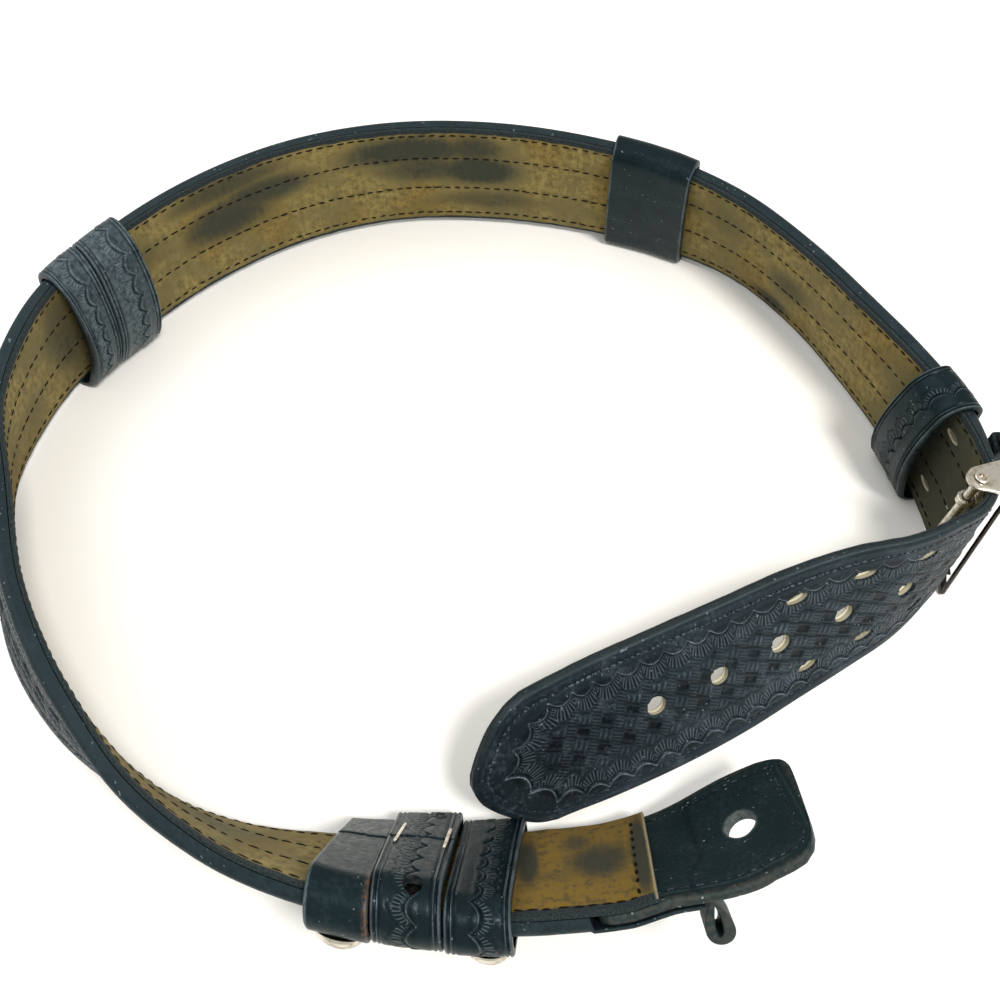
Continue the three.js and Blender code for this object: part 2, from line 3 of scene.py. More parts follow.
import bpy
import numpy as np
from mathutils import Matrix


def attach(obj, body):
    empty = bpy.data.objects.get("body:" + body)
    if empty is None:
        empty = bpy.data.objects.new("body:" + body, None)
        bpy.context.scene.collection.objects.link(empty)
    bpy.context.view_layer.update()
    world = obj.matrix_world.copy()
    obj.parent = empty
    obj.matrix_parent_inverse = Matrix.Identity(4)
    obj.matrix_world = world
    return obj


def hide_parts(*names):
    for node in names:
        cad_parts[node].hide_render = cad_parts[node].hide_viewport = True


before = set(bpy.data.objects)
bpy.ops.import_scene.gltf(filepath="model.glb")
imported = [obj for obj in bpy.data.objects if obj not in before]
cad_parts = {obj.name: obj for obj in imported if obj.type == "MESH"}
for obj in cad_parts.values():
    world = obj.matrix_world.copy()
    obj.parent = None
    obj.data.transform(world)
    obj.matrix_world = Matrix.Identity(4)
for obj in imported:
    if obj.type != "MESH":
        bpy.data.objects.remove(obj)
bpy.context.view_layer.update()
chance = np.random.default_rng(57)
print("frame loaded:", len(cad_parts), "nodes")

# The whole belt in mm: s runs along the strap, w across it from the lower edge, t outwards.
belt = {
    "width": 57.0,
    "routeStart": 6.7,
    "centre": (-1.565, 0.715),
    # lower edge in plan, its height, and the lean in degrees
    "route": [
        (110.7, -103.1, 29.3, 35.7), (84.8, -111.5, 21.3, 39.1), (60.9, -122, 12.6, 33.5),
        (48.5, -125.3, 9.2, 35), (22.6, -128.1, 6.4, 35.5), (-19, -130, 5.6, 31),
        (-49, -129, 5.2, 24), (-76.5, -126, 3.9, 14), (-99.5, -119.5, 3.4, 5),
        (-121, -109, 3.3, -4), (-145, -92.5, 3.8, -13), (-170.5, -61.5, 4.2, -19.5),
        (-184.5, -23.5, 4.2, -20), (-192.5, 12.5, 4, -17), (-188, 41, 3.7, -12),
        (-176, 71, 3.4, -7), (-156, 95, 3.3, -3), (-126, 126, 3.2, -2),
        (-84, 153.5, 3.2, -3), (-41, 167, 3.3, -5), (4, 168, 3.3, -5.5),
        (48.5, 160.5, 3.4, -7), (89.5, 146.5, 3.5, -9.5), (117.5, 130, 3.7, -12.5),
        (144.5, 98, 3.7, -12.5), (160, 68.5, 3.7, -10), (172, 40.5, 3.7, -6.5),
        (179, 15.5, 4.1, -3), (182.0, -6, 4.8, -1), (182.3, -19.9, 5.2, -1),
        (178.7, -31.3, 5.3, -3.5), (169, -42.5, 5.2, -8.5), (156.2, -54.2, 5, -15.5),
        (137.5, -66.5, 5, -25.5), (117.7, -78.5, 4.9, -32), (97.7, -90.5, 4.6, -36),
        (74.2, -102.5, 4.2, -38), (48.7, -113.5, 3.4, -37), (30.2, -120.5, 2.9, -33),
        (10, -130, 2.3, -27.5),
    ],
    "tailTip": 1168.0,
    # how far back from the tip, and the lower and upper edge there
    "tailOutline": [(0, 30, 33.5), (0.5, 25.8, 36), (1.7, 22, 38.8), (4.5, 16.4, 43), (8, 11, 47.8),
                    (12, 6, 52), (17, 1.8, 55.2), (23, 0, 57)],
}


def routeTable():
    rows = np.array(belt["route"], float)
    gaps = np.hypot(*np.diff(rows[:, :2], axis=0).T)
    places = belt["routeStart"] + np.concatenate([[0.0], np.cumsum(gaps)])
    chords = np.diff(rows, axis=0) / gaps[:, None]
    slopes = np.zeros_like(rows)
    before, after = gaps[:-1, None], gaps[1:, None]
    slopes[1:-1] = (chords[:-1] * after + chords[1:] * before) / (before + after)
    slopes[0] = 2 * chords[0] - slopes[1]
    slopes[-1] = 2 * chords[-1] - slopes[-2]
    return rows, places, slopes


routeRows, routePlaces, routeSlopes = routeTable()


def laidOut(flat):
    # flat columns are s, t, w in mm; the result is the same points in the frame, in metres
    s, t, w = flat[:, 0], flat[:, 1:2], flat[:, 2:3]
    i = np.clip(np.searchsorted(routePlaces, s) - 1, 0, len(routePlaces) - 2)
    h = (routePlaces[i + 1] - routePlaces[i])[:, None]
    f = (s - routePlaces[i])[:, None] / h
    a, b, ma, mb = routeRows[i], routeRows[i + 1], routeSlopes[i] * h, routeSlopes[i + 1] * h
    value = ((2 * f**3 - 3 * f**2 + 1) * a + (f**3 - 2 * f**2 + f) * ma
             + (-2 * f**3 + 3 * f**2) * b + (f**3 - f**2) * mb)
    slope = ((6 * f**2 - 6 * f) * a + (3 * f**2 - 4 * f + 1) * ma
             + (-6 * f**2 + 6 * f) * b + (3 * f**2 - 2 * f) * mb) / h
    along = slope[:, :3] / np.linalg.norm(slope[:, :3], axis=1, keepdims=True)
    level = np.stack([-slope[:, 1], slope[:, 0], np.zeros(len(s))], 1)
    level /= np.linalg.norm(level, axis=1, keepdims=True)
    up = np.cross(along, level)
    lean = np.radians(value[:, 3:4])
    across = np.cos(lean) * up + np.sin(lean) * level
    outward = np.cos(lean) * level - np.sin(lean) * up
    point = value[:, :3] + w * across + t * outward
    point[:, :2] -= belt["centre"]
    return point / 1000


def smooth(x):
    x = np.clip(x, 0, 1)
    return x * x * (3 - 2 * x)


def line(away, half, soft):  # 1 along a line, 0 from half its width, with a soft side
    return smooth((half - np.abs(away)) / soft)


def ripple(x, y, seed, size):  # a smooth uneven field between -1 and 1, from a few crossed waves
    waves = np.random.default_rng(seed)
    total = np.zeros(np.shape(x))
    for _ in range(7):
        turn, reach, start = waves.uniform(0, 2 * np.pi), waves.uniform(0.6, 1.7), waves.uniform(0, 6.3)
        total += np.sin((x * np.cos(turn) + y * np.sin(turn)) * 6.283 / (size * reach) + start)
    return total / 4.2


def runOf(path):  # the length along a path up to each of its points
    return np.concatenate([[0], np.cumsum(np.linalg.norm(np.diff(path, axis=0), axis=1))])


def stretches(path, here):
    # for each stretch of a path: how far along and beside it the points lie, its length, their distance
    for a, b in zip(path[:-1], path[1:]):
        run = np.linalg.norm(b - a)
        way = (b - a) / run
        x, y = (here - a) @ way, (here - a) @ np.array([-way[1], way[0]])
        yield x, y, run, np.hypot(x - np.clip(x, 0, run), y)


def softSection(low, high, columns, radius, step=15):
    # places across a piece with rounded edges, and how far each lies below its face
    turn = np.radians(np.arange(0, 90, step))
    radius = min(radius, (high - low) / 4)
    edge = np.stack([radius * (1 - np.cos(turn)), radius * (1 - np.sin(turn))], 1)
    flat = np.linspace(low + radius, high - radius, columns)
    w = np.concatenate([low + edge[:, 0], flat, high - edge[::-1, 0]])
    return w, np.concatenate([edge[:, 1], np.zeros(columns), edge[::-1, 1]])


def pointsOf(obj):
    points = np.empty(len(obj.data.vertices) * 3, np.float32)
    obj.data.vertices.foreach_get("co", points)
    return points.reshape(-1, 3).astype(float)


def setPoints(obj, points):
    obj.data.vertices.foreach_set("co", np.asarray(points, np.float32).ravel())
    obj.data.update()


def onlySelect(*objs):
    bpy.ops.object.select_all(action="DESELECT")
    for obj in objs:
        obj.select_set(True)
    bpy.context.view_layer.objects.active = objs[0]


def added(primitive, name="tool", **settings):
    bpy.ops.object.select_all(action="DESELECT")
    primitive(**settings)
    obj = bpy.context.active_object
    obj.name = name
    return obj


def applyModifier(obj, kind, **settings):
    modifier = obj.modifiers.new("step", kind)
    for key, value in settings.items():
        setattr(modifier, key, value)
    onlySelect(obj)
    bpy.ops.object.modifier_apply(modifier="step")


def cleanUp(obj, merge, fill=False):  # joins seams, closes ends, turns the faces out
    onlySelect(obj)
    bpy.ops.object.mode_set(mode="EDIT")
    bpy.ops.mesh.select_all(action="SELECT")
    bpy.ops.mesh.remove_doubles(threshold=merge)
    if fill:
        bpy.ops.mesh.fill_holes(sides=0)
    bpy.ops.mesh.select_all(action="SELECT")
    bpy.ops.mesh.normals_make_consistent(inside=False)
    bpy.ops.object.mode_set(mode="OBJECT")


def keepVector(obj, name, columns):
    marks = obj.data.attributes.new(name, "FLOAT_VECTOR", "POINT")
    marks.data.foreach_set("vector", np.ascontiguousarray(columns, np.float32).ravel())


def keepMarks(obj, values):  # a piece's first three marks, such as its wear and painted shading, and its fan's three if it has them
    keepVector(obj, "tool", values[:, :3])
    if values.shape[1] > 3:
        keepVector(obj, "fan", values[:, 3:])


def sheet(name, points, along=False, marks=None):
    # a grid primitive, rolled into a tube over rows of section points and joined at its seam
    points = np.array(points, float)
    if marks is not None:
        points = np.concatenate([points, marks], 2)
    points = np.concatenate([points, points[:, :1]], 1)
    if along:
        points = np.concatenate([points, points[:1]], 0)
    rows, cols = points.shape[:2]
    obj = added(bpy.ops.mesh.primitive_grid_add, name, x_subdivisions=cols - 1,
                y_subdivisions=rows - 1, size=1)
    grid = pointsOf(obj)
    col = np.rint((grid[:, 0] + 0.5) * (cols - 1)).astype(int)
    row = np.rint((grid[:, 1] + 0.5) * (rows - 1)).astype(int)
    setPoints(obj, points[row, col, :3])
    if marks is not None:
        keepMarks(obj, points[row, col, 3:])
    cleanUp(obj, 1e-4, fill=not along)
    return obj


def combine(obj, operation, other):
    applyModifier(obj, "BOOLEAN", operation=operation, object=other, solver="EXACT")
    bpy.data.objects.remove(other)


def cutWith(obj, cutters):  # takes the cutters' volume out of the piece
    onlySelect(*cutters)
    if len(cutters) > 1:
        bpy.ops.object.join()
    combine(obj, "DIFFERENCE", bpy.context.active_object)


def punch(s, w, long, wide, turn=0.0, steps=28, t=0.0, depth=24.0):  # an oval punch through the flat strap
    tool = added(bpy.ops.mesh.primitive_cylinder_add, vertices=steps, radius=0.5, depth=depth,
                 location=(s, t, w), rotation=(math.pi / 2, 0, 0))
    tool.scale = (long, wide, 1)
    bpy.ops.object.transform_apply(location=False, rotation=False, scale=True)
    tool.rotation_euler = (math.pi / 2, math.radians(turn), 0)
    bpy.ops.object.transform_apply(location=True, rotation=True, scale=True)
    return tool


def finishPiece(obj, material, slot, *nodes, smoothAngle=40):
    onlySelect(obj)
    bpy.ops.object.shade_smooth_by_angle(angle=math.radians(smoothAngle))
    obj.data.materials.clear()
    obj.data.materials.append(material)
    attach(obj, "root")
    if nodes:
        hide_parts(*nodes)
    print(obj.name, len(obj.data.polygons), "faces")


def layOnRoute(obj, material, slot, *nodes, tool=None, smoothAngle=40):
    # bends a flat piece onto the route, keeps its flat place and its wear and painted shading for the
    # material, and finishes it
    flat = pointsOf(obj)
    keepVector(obj, "place", flat[:, [0, 2, 1]])
    if tool:
        keepMarks(obj, tool(flat[:, 0], flat[:, 2], flat[:, 1]))
    setPoints(obj, laidOut(flat))
    finishPiece(obj, material, slot, *nodes, smoothAngle=smoothAngle)


# finishes, mixed from noise over the flat strap, or over the frame for the metal and the tab

class Field:  # a node's output, so that sums of fields can be written plainly
    def __init__(self, socket):
        self.socket, self.tree = socket, socket.id_data

    def __add__(self, other):
        return maths("ADD", self, other)

    def __sub__(self, other):
        return maths("SUBTRACT", self, other)

    def __mul__(self, other):
        return maths("MULTIPLY", self, other)


def feed(socket, value):
    if isinstance(value, Field):
        value.tree.links.new(value.socket, socket)
    else:
        socket.default_value = value


def put(tree, kind, output, inputs=None, **settings):  # adds a node and gives back one of its outputs
    node = tree.nodes.new("ShaderNode" + kind)
    for key, value in settings.items():
        setattr(node, key, value)
    for key, value in (inputs or {}).items():
        feed(node.inputs[key], value)
    return Field(node.outputs[output])


def maths(operation, *values):
    return put(values[0].tree, "Math", 0, dict(enumerate(values)), operation=operation)


def between(value, low, high, start=0.0, end=1.0):
    inputs = {"Value": value, "From Min": low, "From Max": high, "To Min": start, "To Max": end}
    return put(value.tree, "MapRange", "Result", inputs, interpolation_type="SMOOTHSTEP")


def noise(place, scale, detail=3.0, rough=0.5):
    return put(place.tree, "TexNoise", "Fac",
               {"Vector": place, "Scale": scale, "Detail": detail, "Roughness": rough})


def bump(height, distance, strength):
    return put(height.tree, "Bump", "Normal", {"Height": height, "Distance": distance, "Strength": strength})


def split(vector):
    return [Field(out) for out in put(vector.tree, "SeparateXYZ", 0, {0: vector}).socket.node.outputs]


def attribute(tree, name):
    return put(tree, "Attribute", "Vector", attribute_name=name)


def strapPlace(tree):  # where a point lies on the flat strap, in mm: s, w, t
    return attribute(tree, "place")


def objectPlace(tree):
    at = put(tree, "TexCoord", "Object")
    return put(tree, "Mapping", "Vector", {"Vector": at, "Scale": (1000, 1000, 1000)})


def colour(tone):  # display values from 0 to 255
    return tone if isinstance(tone, Field) else tuple((c / 255) ** 2.2 for c in tone) + (1.0,)


def layered(base, layers):  # lays colours over one another, each by its share
    for share, tone in layers:
        base = put(share.tree, "Mix", 2, {0: share, 6: colour(base), 7: colour(tone)}, data_type="RGBA")
    return base


def newFinish(name):
    material = bpy.data.materials.new(name)
    material.use_nodes = True
    return material, material.node_tree


def dressed(material, sockets):
    shader = material.node_tree.nodes["Principled BSDF"]
    for key, value in sockets.items():
        feed(shader.inputs[key], value)
    return material


# the pale colour stands for real wear and for painted highlights on raised ridges
blackLeatherLook = {
    "deep": (7, 10, 14), "body": (32, 41, 47), "wornAndHighlight": (132, 142, 154), "edge": (31, 42, 44),
    "grain": 0.00009, "rough": (0.4, 0.6), "coat": 0.04, "scuff": 0.12, "lines": 0.19, "flecks": 0.35,
    "shine": 0.2, "glow": (0.7, 0.93, 1.0, 1.0),
}


def leatherFinish(name, look, place=strapPlace, lines=False):
    material, tree = newFinish(name)
    at = place(tree)
    wearAndShading, rim, bare = split(attribute(tree, "tool"))
    angle, _, inFan = split(attribute(tree, "fan"))
    cloud, patch = noise(at, 0.09, 4), noise(at, 0.6, 4)
    # fine stamped lines: painted shade in their troughs and a painted highlight on their tops
    thin = maths("COSINE", angle * border["fineRays"]) * inFan
    if lines:
        thin = thin + weaveLines(at)
    # the pale share is partly real wear and scuffs, partly painted highlight on ridges and line tops
    wornAndHighlight = between(wearAndShading, 0.45, 1.0) * between(patch + noise(at, 3.2, 2), 0.7, 1.25, 0.25, 1.0)
    wornAndHighlight = wornAndHighlight + between(patch * cloud, 0.24, 0.46) * look["scuff"]
    wornAndHighlight = wornAndHighlight + between(thin, 0.15, 1.0, 0.0, look["lines"])
    # hollows keep the deep colour as painted shade; ridges take the pale colour as wear and painted highlight
    base = layered(look["deep"], [
        (between(wearAndShading + cloud * 0.5, 0.1, 0.75), look["body"]),
        (between(thin, -0.1, -1.0, 0.0, 0.8), look["deep"]),
        (maths("MINIMUM", wornAndHighlight, 1.0), look["wornAndHighlight"]),
        (between(rim, 1.7, 0.9) * between(patch, 0.35, 0.65, 0.2, 0.85), look["edge"])])
    if lines:  # the pale core of the leather shows in the holes
        base = layered(base, [(between(split(at)[2], 0.0, -0.4) * between(rim, 5.0, 6.0), (168, 162, 140))])
    base = layered(base, [
        (between(noise(at, 0.8, 0), 0.79, 0.85, 0, look["flecks"]), (150, 162, 168)),
        (bare * between(patch, 0.38, 0.6, 0.15, 0.85), (88, 66, 52))])
    pores = put(tree, "TexVoronoi", "Distance", {"Vector": at, "Scale": 1.15})
    height = thin + (pores * 0.6 + noise(at, 1.7, 5, 0.65))
    return dressed(material, {
        "Base Color": base, "Roughness": between(patch, 0.3, 0.7, *look["rough"]),
        "Coat Weight": look["coat"], "Coat Roughness": 0.3,
        "Specular IOR Level": look["shine"], "Specular Tint": look["glow"],
        "Normal": bump(height, look["grain"], 0.9)})


# the tooled pattern: a slanting basket weave inside a border of scallops with rays

weave = {
    "start": (1133.1, 22.5), "turn": 31.5, "row": 5.1, "repeat": 18.8, "shift": 8.45,
    "bar": (2.6, 1.55), "barDepth": 0.5, "swell": 0.34, "ribs": 0.16, "ribPitch": 2.1,
    "seam": 0.3, "reach": 8.2, "linePitch": 1.25,
}
border = {
    "pitch": 9.15, "low": 6.8, "high": 8.8, "bulge": 3.1, "lowStart": 1133.6, "highStart": 1129.7,
    # the cusps round the tail's tip, s and w, and where they begin
    "tip": [(1133.6, 7.8), (1142.8, 9.8), (1150.4, 18.7), (1156.2, 30.0), (1151.7, 38.9),
            (1144.7, 45.3), (1138.3, 48.6), (1129.7, 48.4)],
    "tipFrom": 1128, "tipMiddle": 27.1, "fanCentre": 3.2,
    "rays": 5.6, "rayDepth": 0.2, "rimDepth": 0.42, "fineRays": 46.0,
}


def alongWeave(s, w):  # along and across the strands, for points and for fields alike
    turn = math.radians(weave["turn"])
    ds, dw = s - weave["start"][0], w - weave["start"][1]
    return ds * math.cos(turn) + dw * math.sin(turn), dw * math.cos(turn) - ds * math.sin(turn)


def weaveRelief(s, w):
    u, v = alongWeave(s, w)
    row = np.rint(v / weave["row"])
    half = weave["repeat"] / 2
    u = np.abs((u + weave["shift"] * row + half) % weave["repeat"] - half)
    v = np.abs(v - row * weave["row"])
    bar = line(u, weave["bar"][0], 0.55) * line(v, weave["bar"][1], 0.45)
    along = smooth((u - 1.6) / 4.5)
    pillow = 1 - (v / 2.7) ** 2
    middle = half - u
    ribs = np.cos(2 * np.pi * middle / weave["ribPitch"]) * smooth((3.6 - middle) / 0.8)
    seam = smooth((v - 2.0) / 0.5)
    relief = weave["swell"] * pillow * (0.35 + 0.65 * along) + weave["ribs"] * ribs * pillow
    relief = relief - weave["barDepth"] * bar - weave["seam"] * seam
    # raised ribs and pillows are lighter, partly real wear and partly painted highlight; stamped bars and
    # seams are darker as painted shade
    wearAndShading = 0.24 + 0.55 * relief + 0.14 * np.clip(ribs, 0, 1) - 0.6 * bar - 0.3 * seam
    return relief, wearAndShading


def borderPlace(s, w):
    # share along a scallop from -1 to 1, the distance inwards of its cusps, and its length
    lower = w < belt["width"] / 2
    start = np.where(lower, border["lowStart"], border["highStart"])
    share = ((s - start) / border["pitch"]) % 1.0 * 2 - 1
    inward = np.where(lower, w - border["low"], belt["width"] - w - border["high"])
    length = np.full(np.shape(s), border["pitch"])
    near = s > border["tipFrom"]
    if near.any():
        here = np.stack([s[near], w[near]], 1)
        best = np.full(len(here), 1e9)
        found = np.zeros((len(here), 3))
        for x, y, run, away in stretches(np.array(border["tip"]), here):
            closer = away < best
            best = np.where(closer, away, best)
            found[closer] = np.stack([2 * x / run - 1, y, np.full(len(x), run)], 1)[closer]
        straight = here[:, 0] < border["lowStart"]
        straight &= (here[:, 1] < border["tipMiddle"]) | (here[:, 0] < border["highStart"])
        found[straight] = np.stack([share[near], inward[near], length[near]], 1)[straight]
        share[near], inward[near], length[near] = found.T
    return share, inward, length


def scallops(share, inward, length, reach):
    # one border stamp: its relief, its wear with painted highlight and shade, and for the fine rays their
    # angle, distance and strength
    arc = inward - border["bulge"] * (1 - share**2)
    angle = np.arctan2(share * length / 2, inward + border["fanCentre"])
    ray = 0.5 + 0.5 * np.cos(angle * border["fineRays"] / 2)
    inRays = smooth((arc - 0.4) / 0.5) * smooth((reach - arc) / 0.7)
    rimLine = line(arc, 0.62, 0.4)
    ridge = line(arc + 0.95, 0.5, 0.35)
    shellLine = line(arc - reach - 1.1 - 0.5 * np.cos(share * 2 * np.pi * 1.5), 0.5, 0.35)
    dome = smooth((-0.8 - arc) / 1.2) * smooth((inward + 1.2) / 1.6)
    relief = (0.16 * dome + 0.14 * ridge - border["rayDepth"] * ray * inRays - border["rimDepth"] * rimLine
              - 0.2 * shellLine)
    # a painted highlight on the ridge beside each arc; painted shade in the stamped rim and shell lines
    wearAndShading = 0.3 + 0.14 * smooth(arc / 0.6) + 0.5 * ridge - 0.3 * rimLine - 0.2 * dome - 0.25 * shellLine
    return relief, wearAndShading, arc, np.stack([angle, arc, inRays], -1)


def toolingAt(s, w):
    share, inward, length = borderPlace(s, w)
    relief, wearAndShading, arc, fan = scallops(np.clip(share, -1, 1), inward, length, border["rays"])
    inWeave = smooth((arc - weave["reach"] + 0.9) / 0.8)
    basket, basketWearAndShading = weaveRelief(s, w)
    return basket * inWeave + relief * (1 - inWeave), basketWearAndShading * inWeave + wearAndShading * (1 - inWeave), fan


def weaveLines(at):
    # the finest lines of each stamp, beside its bar and along the strand
    s, w, _ = split(at)
    u, v = alongWeave(s, w)
    row = maths("ROUND", maths("DIVIDE", v, weave["row"]))
    half = weave["repeat"] / 2
    u = maths("ABSOLUTE", maths("WRAP", row * weave["shift"] + u, half, -half))
    lines = maths("COSINE", (v - row * weave["row"]) * (2 * math.pi / weave["linePitch"]))
    beside = between(u, 2.6, 3.1) * between(u, 6.8, 6.2)
    inside = between(w, 15.5, 17.0) * between(w, 42.5, 41.0)
    return lines * beside * (inside * between(s, 1147, 1144, 0, 0.6))


blackLeather = leatherFinish("blackLeather", blackLeatherLook, lines=True)
keeperLeather = leatherFinish("keeperLeather", {
    "deep": (9, 14, 17), "body": (22, 33, 36), "wornAndHighlight": (124, 138, 146), "edge": (50, 54, 56),
    "grain": 0.00006, "rough": (0.26, 0.44), "coat": 0.05, "scuff": 0.03, "lines": 0.2, "flecks": 0.35,
    "shine": 0.13, "glow": (0.6, 0.9, 1.0, 1.0)})
tongueLeather = leatherFinish("tongueLeather", {
    "deep": (14, 24, 26), "body": (25, 38, 40), "wornAndHighlight": (92, 98, 96), "edge": (58, 58, 53),
    "grain": 0.00007, "rough": (0.5, 0.66), "coat": 0.02, "scuff": 0.08, "lines": 0.19, "flecks": 0.6,
    "shine": 0.28, "glow": (0.7, 0.95, 1.0, 1.0)})
tabLeather = leatherFinish("tabLeather", blackLeatherLook, place=objectPlace)


def suedeFinish():
    material, tree = newFinish("suedeNap")
    at = strapPlace(tree)
    along, across, depth = split(at)
    stainAndShadow, margin, warm = split(attribute(tree, "tool"))
    cloud, patch, nap = noise(at, 0.045, 4), noise(at, 0.3, 6, 0.68), noise(at, 2.6, 4, 0.7)
    drawn = put(tree, "Mapping", "Vector", {"Vector": at, "Scale": (1.0, 0.12, 1.0)})
    mixed = noise(drawn, 0.55, 4, 0.6) * 0.32 + patch * 0.68
    rubbed = (patch - 0.5) * 2.6 + ((nap - 0.5) * 1.6 + margin)
    frayed = between((nap - 0.5) * 1.4 + along, 63.9, 63.2) * between(depth, -2.7, -3.3, 0, 0.7)
    wall = between(depth, -3.0, -2.8) * between(margin, 1.2, 0.4)
    wall = wall * between(across, 1.5, 3.0) * between(along, 63.3, 64.0)
    base = layered((84, 76, 44), [
        (between(mixed, 0.3, 0.72), (156, 138, 84)),
        (between(cloud, 0.4, 0.6, 0, 0.75), (104, 96, 62)),
        (warm * between(patch, 0.3, 0.6, 0.4, 1), (122, 96, 34)),
        (warm * between(patch, 0.52, 0.38, 0, 0.7), (78, 64, 32)),
        (between(nap, 0.6, 0.78, 0, 0.5), (160, 138, 82)),
        (between(nap, 0.44, 0.3, 0, 0.6), (58, 50, 26)),
        # dark patches: real stains, plus painted shadow beside the right keeper
        (between((mixed - 0.5) * 1.5 + stainAndShadow, 0.05, 0.9, 0, 0.92), (46, 51, 44)),
        # the black margin, the frayed cut end and the pale wall of the holes
        (between(rubbed, -0.35, 0.35), layered((26, 35, 38), [(between(nap, 0.45, 0.75), (74, 82, 82))])),
        (frayed, (166, 156, 130)), (wall, (226, 220, 196))])
    height = nap + noise(at, 7.0, 3, 0.7) * 0.5
    return dressed(material, {"Base Color": base, "Roughness": 0.95, "Specular IOR Level": 0.12,
                              "Sheen Weight": 0.05, "Sheen Roughness": 0.6,
                              "Normal": bump(height, 0.00022, 0.8)})


def threadFinish(name, dark, light):
    material, tree = newFinish(name)
    at = strapPlace(tree)
    twist = put(tree, "TexWave", "Fac", {"Vector": at, "Scale": 1.6}, bands_direction="DIAGONAL")
    return dressed(material, {"Base Color": layered(dark, [(between(noise(at, 1.4, 3), 0.38, 0.66), light)]),
                              "Roughness": 0.65, "Specular IOR Level": 0.15,
                              "Normal": bump(twist, 0.0001, 0.7)})


def nickelFinish():
    material, tree = newFinish("nickelPlate")
    at = objectPlace(tree)
    tarnish = noise(at, 0.35, 4, 0.6)
    x, y, z = split(at)  # a painted dark reflection of the black belt on the bar at the buckle's far end
    farBarReflection = between(x, 177.5, 179.5) * between(y, -22, -24.5) * between(z, 61, 57, 0, 0.97)
    base = layered((206, 200, 188), [(between(tarnish, 0.45, 0.7), (158, 148, 132)), (farBarReflection, (38, 33, 30))])
    return dressed(material, {"Base Color": base, "Metallic": 1.0,
                              "Roughness": between(tarnish, 0.35, 0.7, 0.2, 0.38),
                              "Normal": bump(noise(at, 3.0, 3), 0.00003, 0.5)})


suedeNap = suedeFinish()
darkThread = threadFinish("darkThread", (12, 11, 8), (26, 23, 16))
greyThread = threadFinish("greyThread", (24, 30, 36), (90, 100, 110))
faintThread = threadFinish("faintThread", (18, 23, 28), (66, 76, 86))
nickelPlate = nickelFinish()
print("finishes made")

# the tooled outer ply, in two pieces: the tail is modelled finer than the rest

outerPly = {
    "face": 3.5, "tailFace": 0.9, "thinning": (915.0, 958.0), "back": -1.6, "skivedBack": 2.1,
    "skiveEnd": 86.0, "start": 59.0, "diagonal": 5.0, "diagonalReach": 7, "edgeRound": 2.4, "split": 916.0,
    "bodyStep": 1.0, "bodyColumns": 78, "bodyDeeper": 0.8, "bodyShadingContrast": 0.5, "tailStep": 0.46,
    "tailColumns": 124, "underColumns": 9, "stitchIn": 5.2, "grooveDepth": 0.28,
    "roundHoles": (998.8, 1024.1, 1049.3, 1074.9, 1100.5), "holeAt": 29.2, "holeSize": 7.6,
    "slots": (931, 956.8, 991.8, 1016.2, 1040.7), "slotRows": (13.4, 45), "slotSize": (8.2, 4.4),
}


def thinned(s, face, tailFace):  # a face's depth at s: the strap thins past the buckle
    start, end = outerPly["thinning"]
    return face + smooth((np.asarray(s, float) - start) / (end - start)) * (tailFace - face)


def outerFace(s):
    return thinned(s, outerPly["face"], outerPly["tailFace"])


def suedeFace(s):
    return thinned(s, suede["face"], suede["tailFace"])


def softOutline():  # the tail's outline with its corners cut back twice
    rows = np.array(belt["tailOutline"], float)
    for _ in range(2):
        near, far = rows[:-1] * 0.75 + rows[1:] * 0.25, rows[:-1] * 0.25 + rows[1:] * 0.75
        rows = np.concatenate([rows[:1], np.stack([near, far], 1).reshape(-1, 3), rows[-1:]])
    return rows


tailRows = softOutline()
# the same as s and w, from the tip backwards
tailLow, tailHigh = (np.stack([belt["tailTip"] - tailRows[:, 0], tailRows[:, side]], 1) for side in (1, 2))


def edgesAt(outline, back):  # the lower and upper edge, so far back from an end
    return np.interp(back, outline[:, 0], outline[:, 1]), np.interp(back, outline[:, 0], outline[:, 2])


def rimDistance(s, w):  # how far in from the strap's outline
    outline = np.concatenate([[[0, 0]], tailLow[::-1], tailHigh, [[0, belt["width"]]]])
    return np.minimum.reduce([away for *_, away in stretches(outline, np.stack([s, w], 1))])


def onBody(s):
    return s < outerPly["split"] - 0.1


def outerRows(start, end, step, columns):
    ply, rows = outerPly, []
    under = ply["underColumns"]
    places = np.linspace(start, end, int(round((end - start) / step)) + 1)
    for s, low, high, face in zip(places, *edgesAt(tailRows, belt["tailTip"] - places), outerFace(places)):
        back = ply["skivedBack"] if s < ply["skiveEnd"] - 0.3 else ply["back"]
        w, drop = softSection(low, high, columns, min(ply["edgeRound"], face - back - 0.5))
        w, t = np.append(w, np.linspace(high, low, under)), np.append(face - drop, np.full(under, back))
        slide = max(0.0, 1 - (s - ply["start"]) / ply["diagonalReach"]) * ply["diagonal"] / belt["width"]
        rows.append(np.stack([s - slide * w, t, w], 1))
    rows = np.array(rows)
    top = rows[:, :-under].reshape(-1, 3)
    s, w = top[:, 0], top[:, 2]
    relief, _, _ = toolingAt(s, w)
    relief *= 1 + ply["bodyDeeper"] * onBody(s)
    rim = rimDistance(s, w)
    groove = line(rim - ply["stitchIn"], 0.9, 0.6)
    pebble, sag = 0.05 * ripple(s, w, 3, 2.6), 0.12 * ripple(s, w, 5, 40)
    top[:, 1] += (relief - ply["grooveDepth"] * groove + pebble + sag) * smooth((rim - 1.0) / 1.6)
    rows[:, :-under] = top.reshape(len(rows), -1, 3)
    return rows


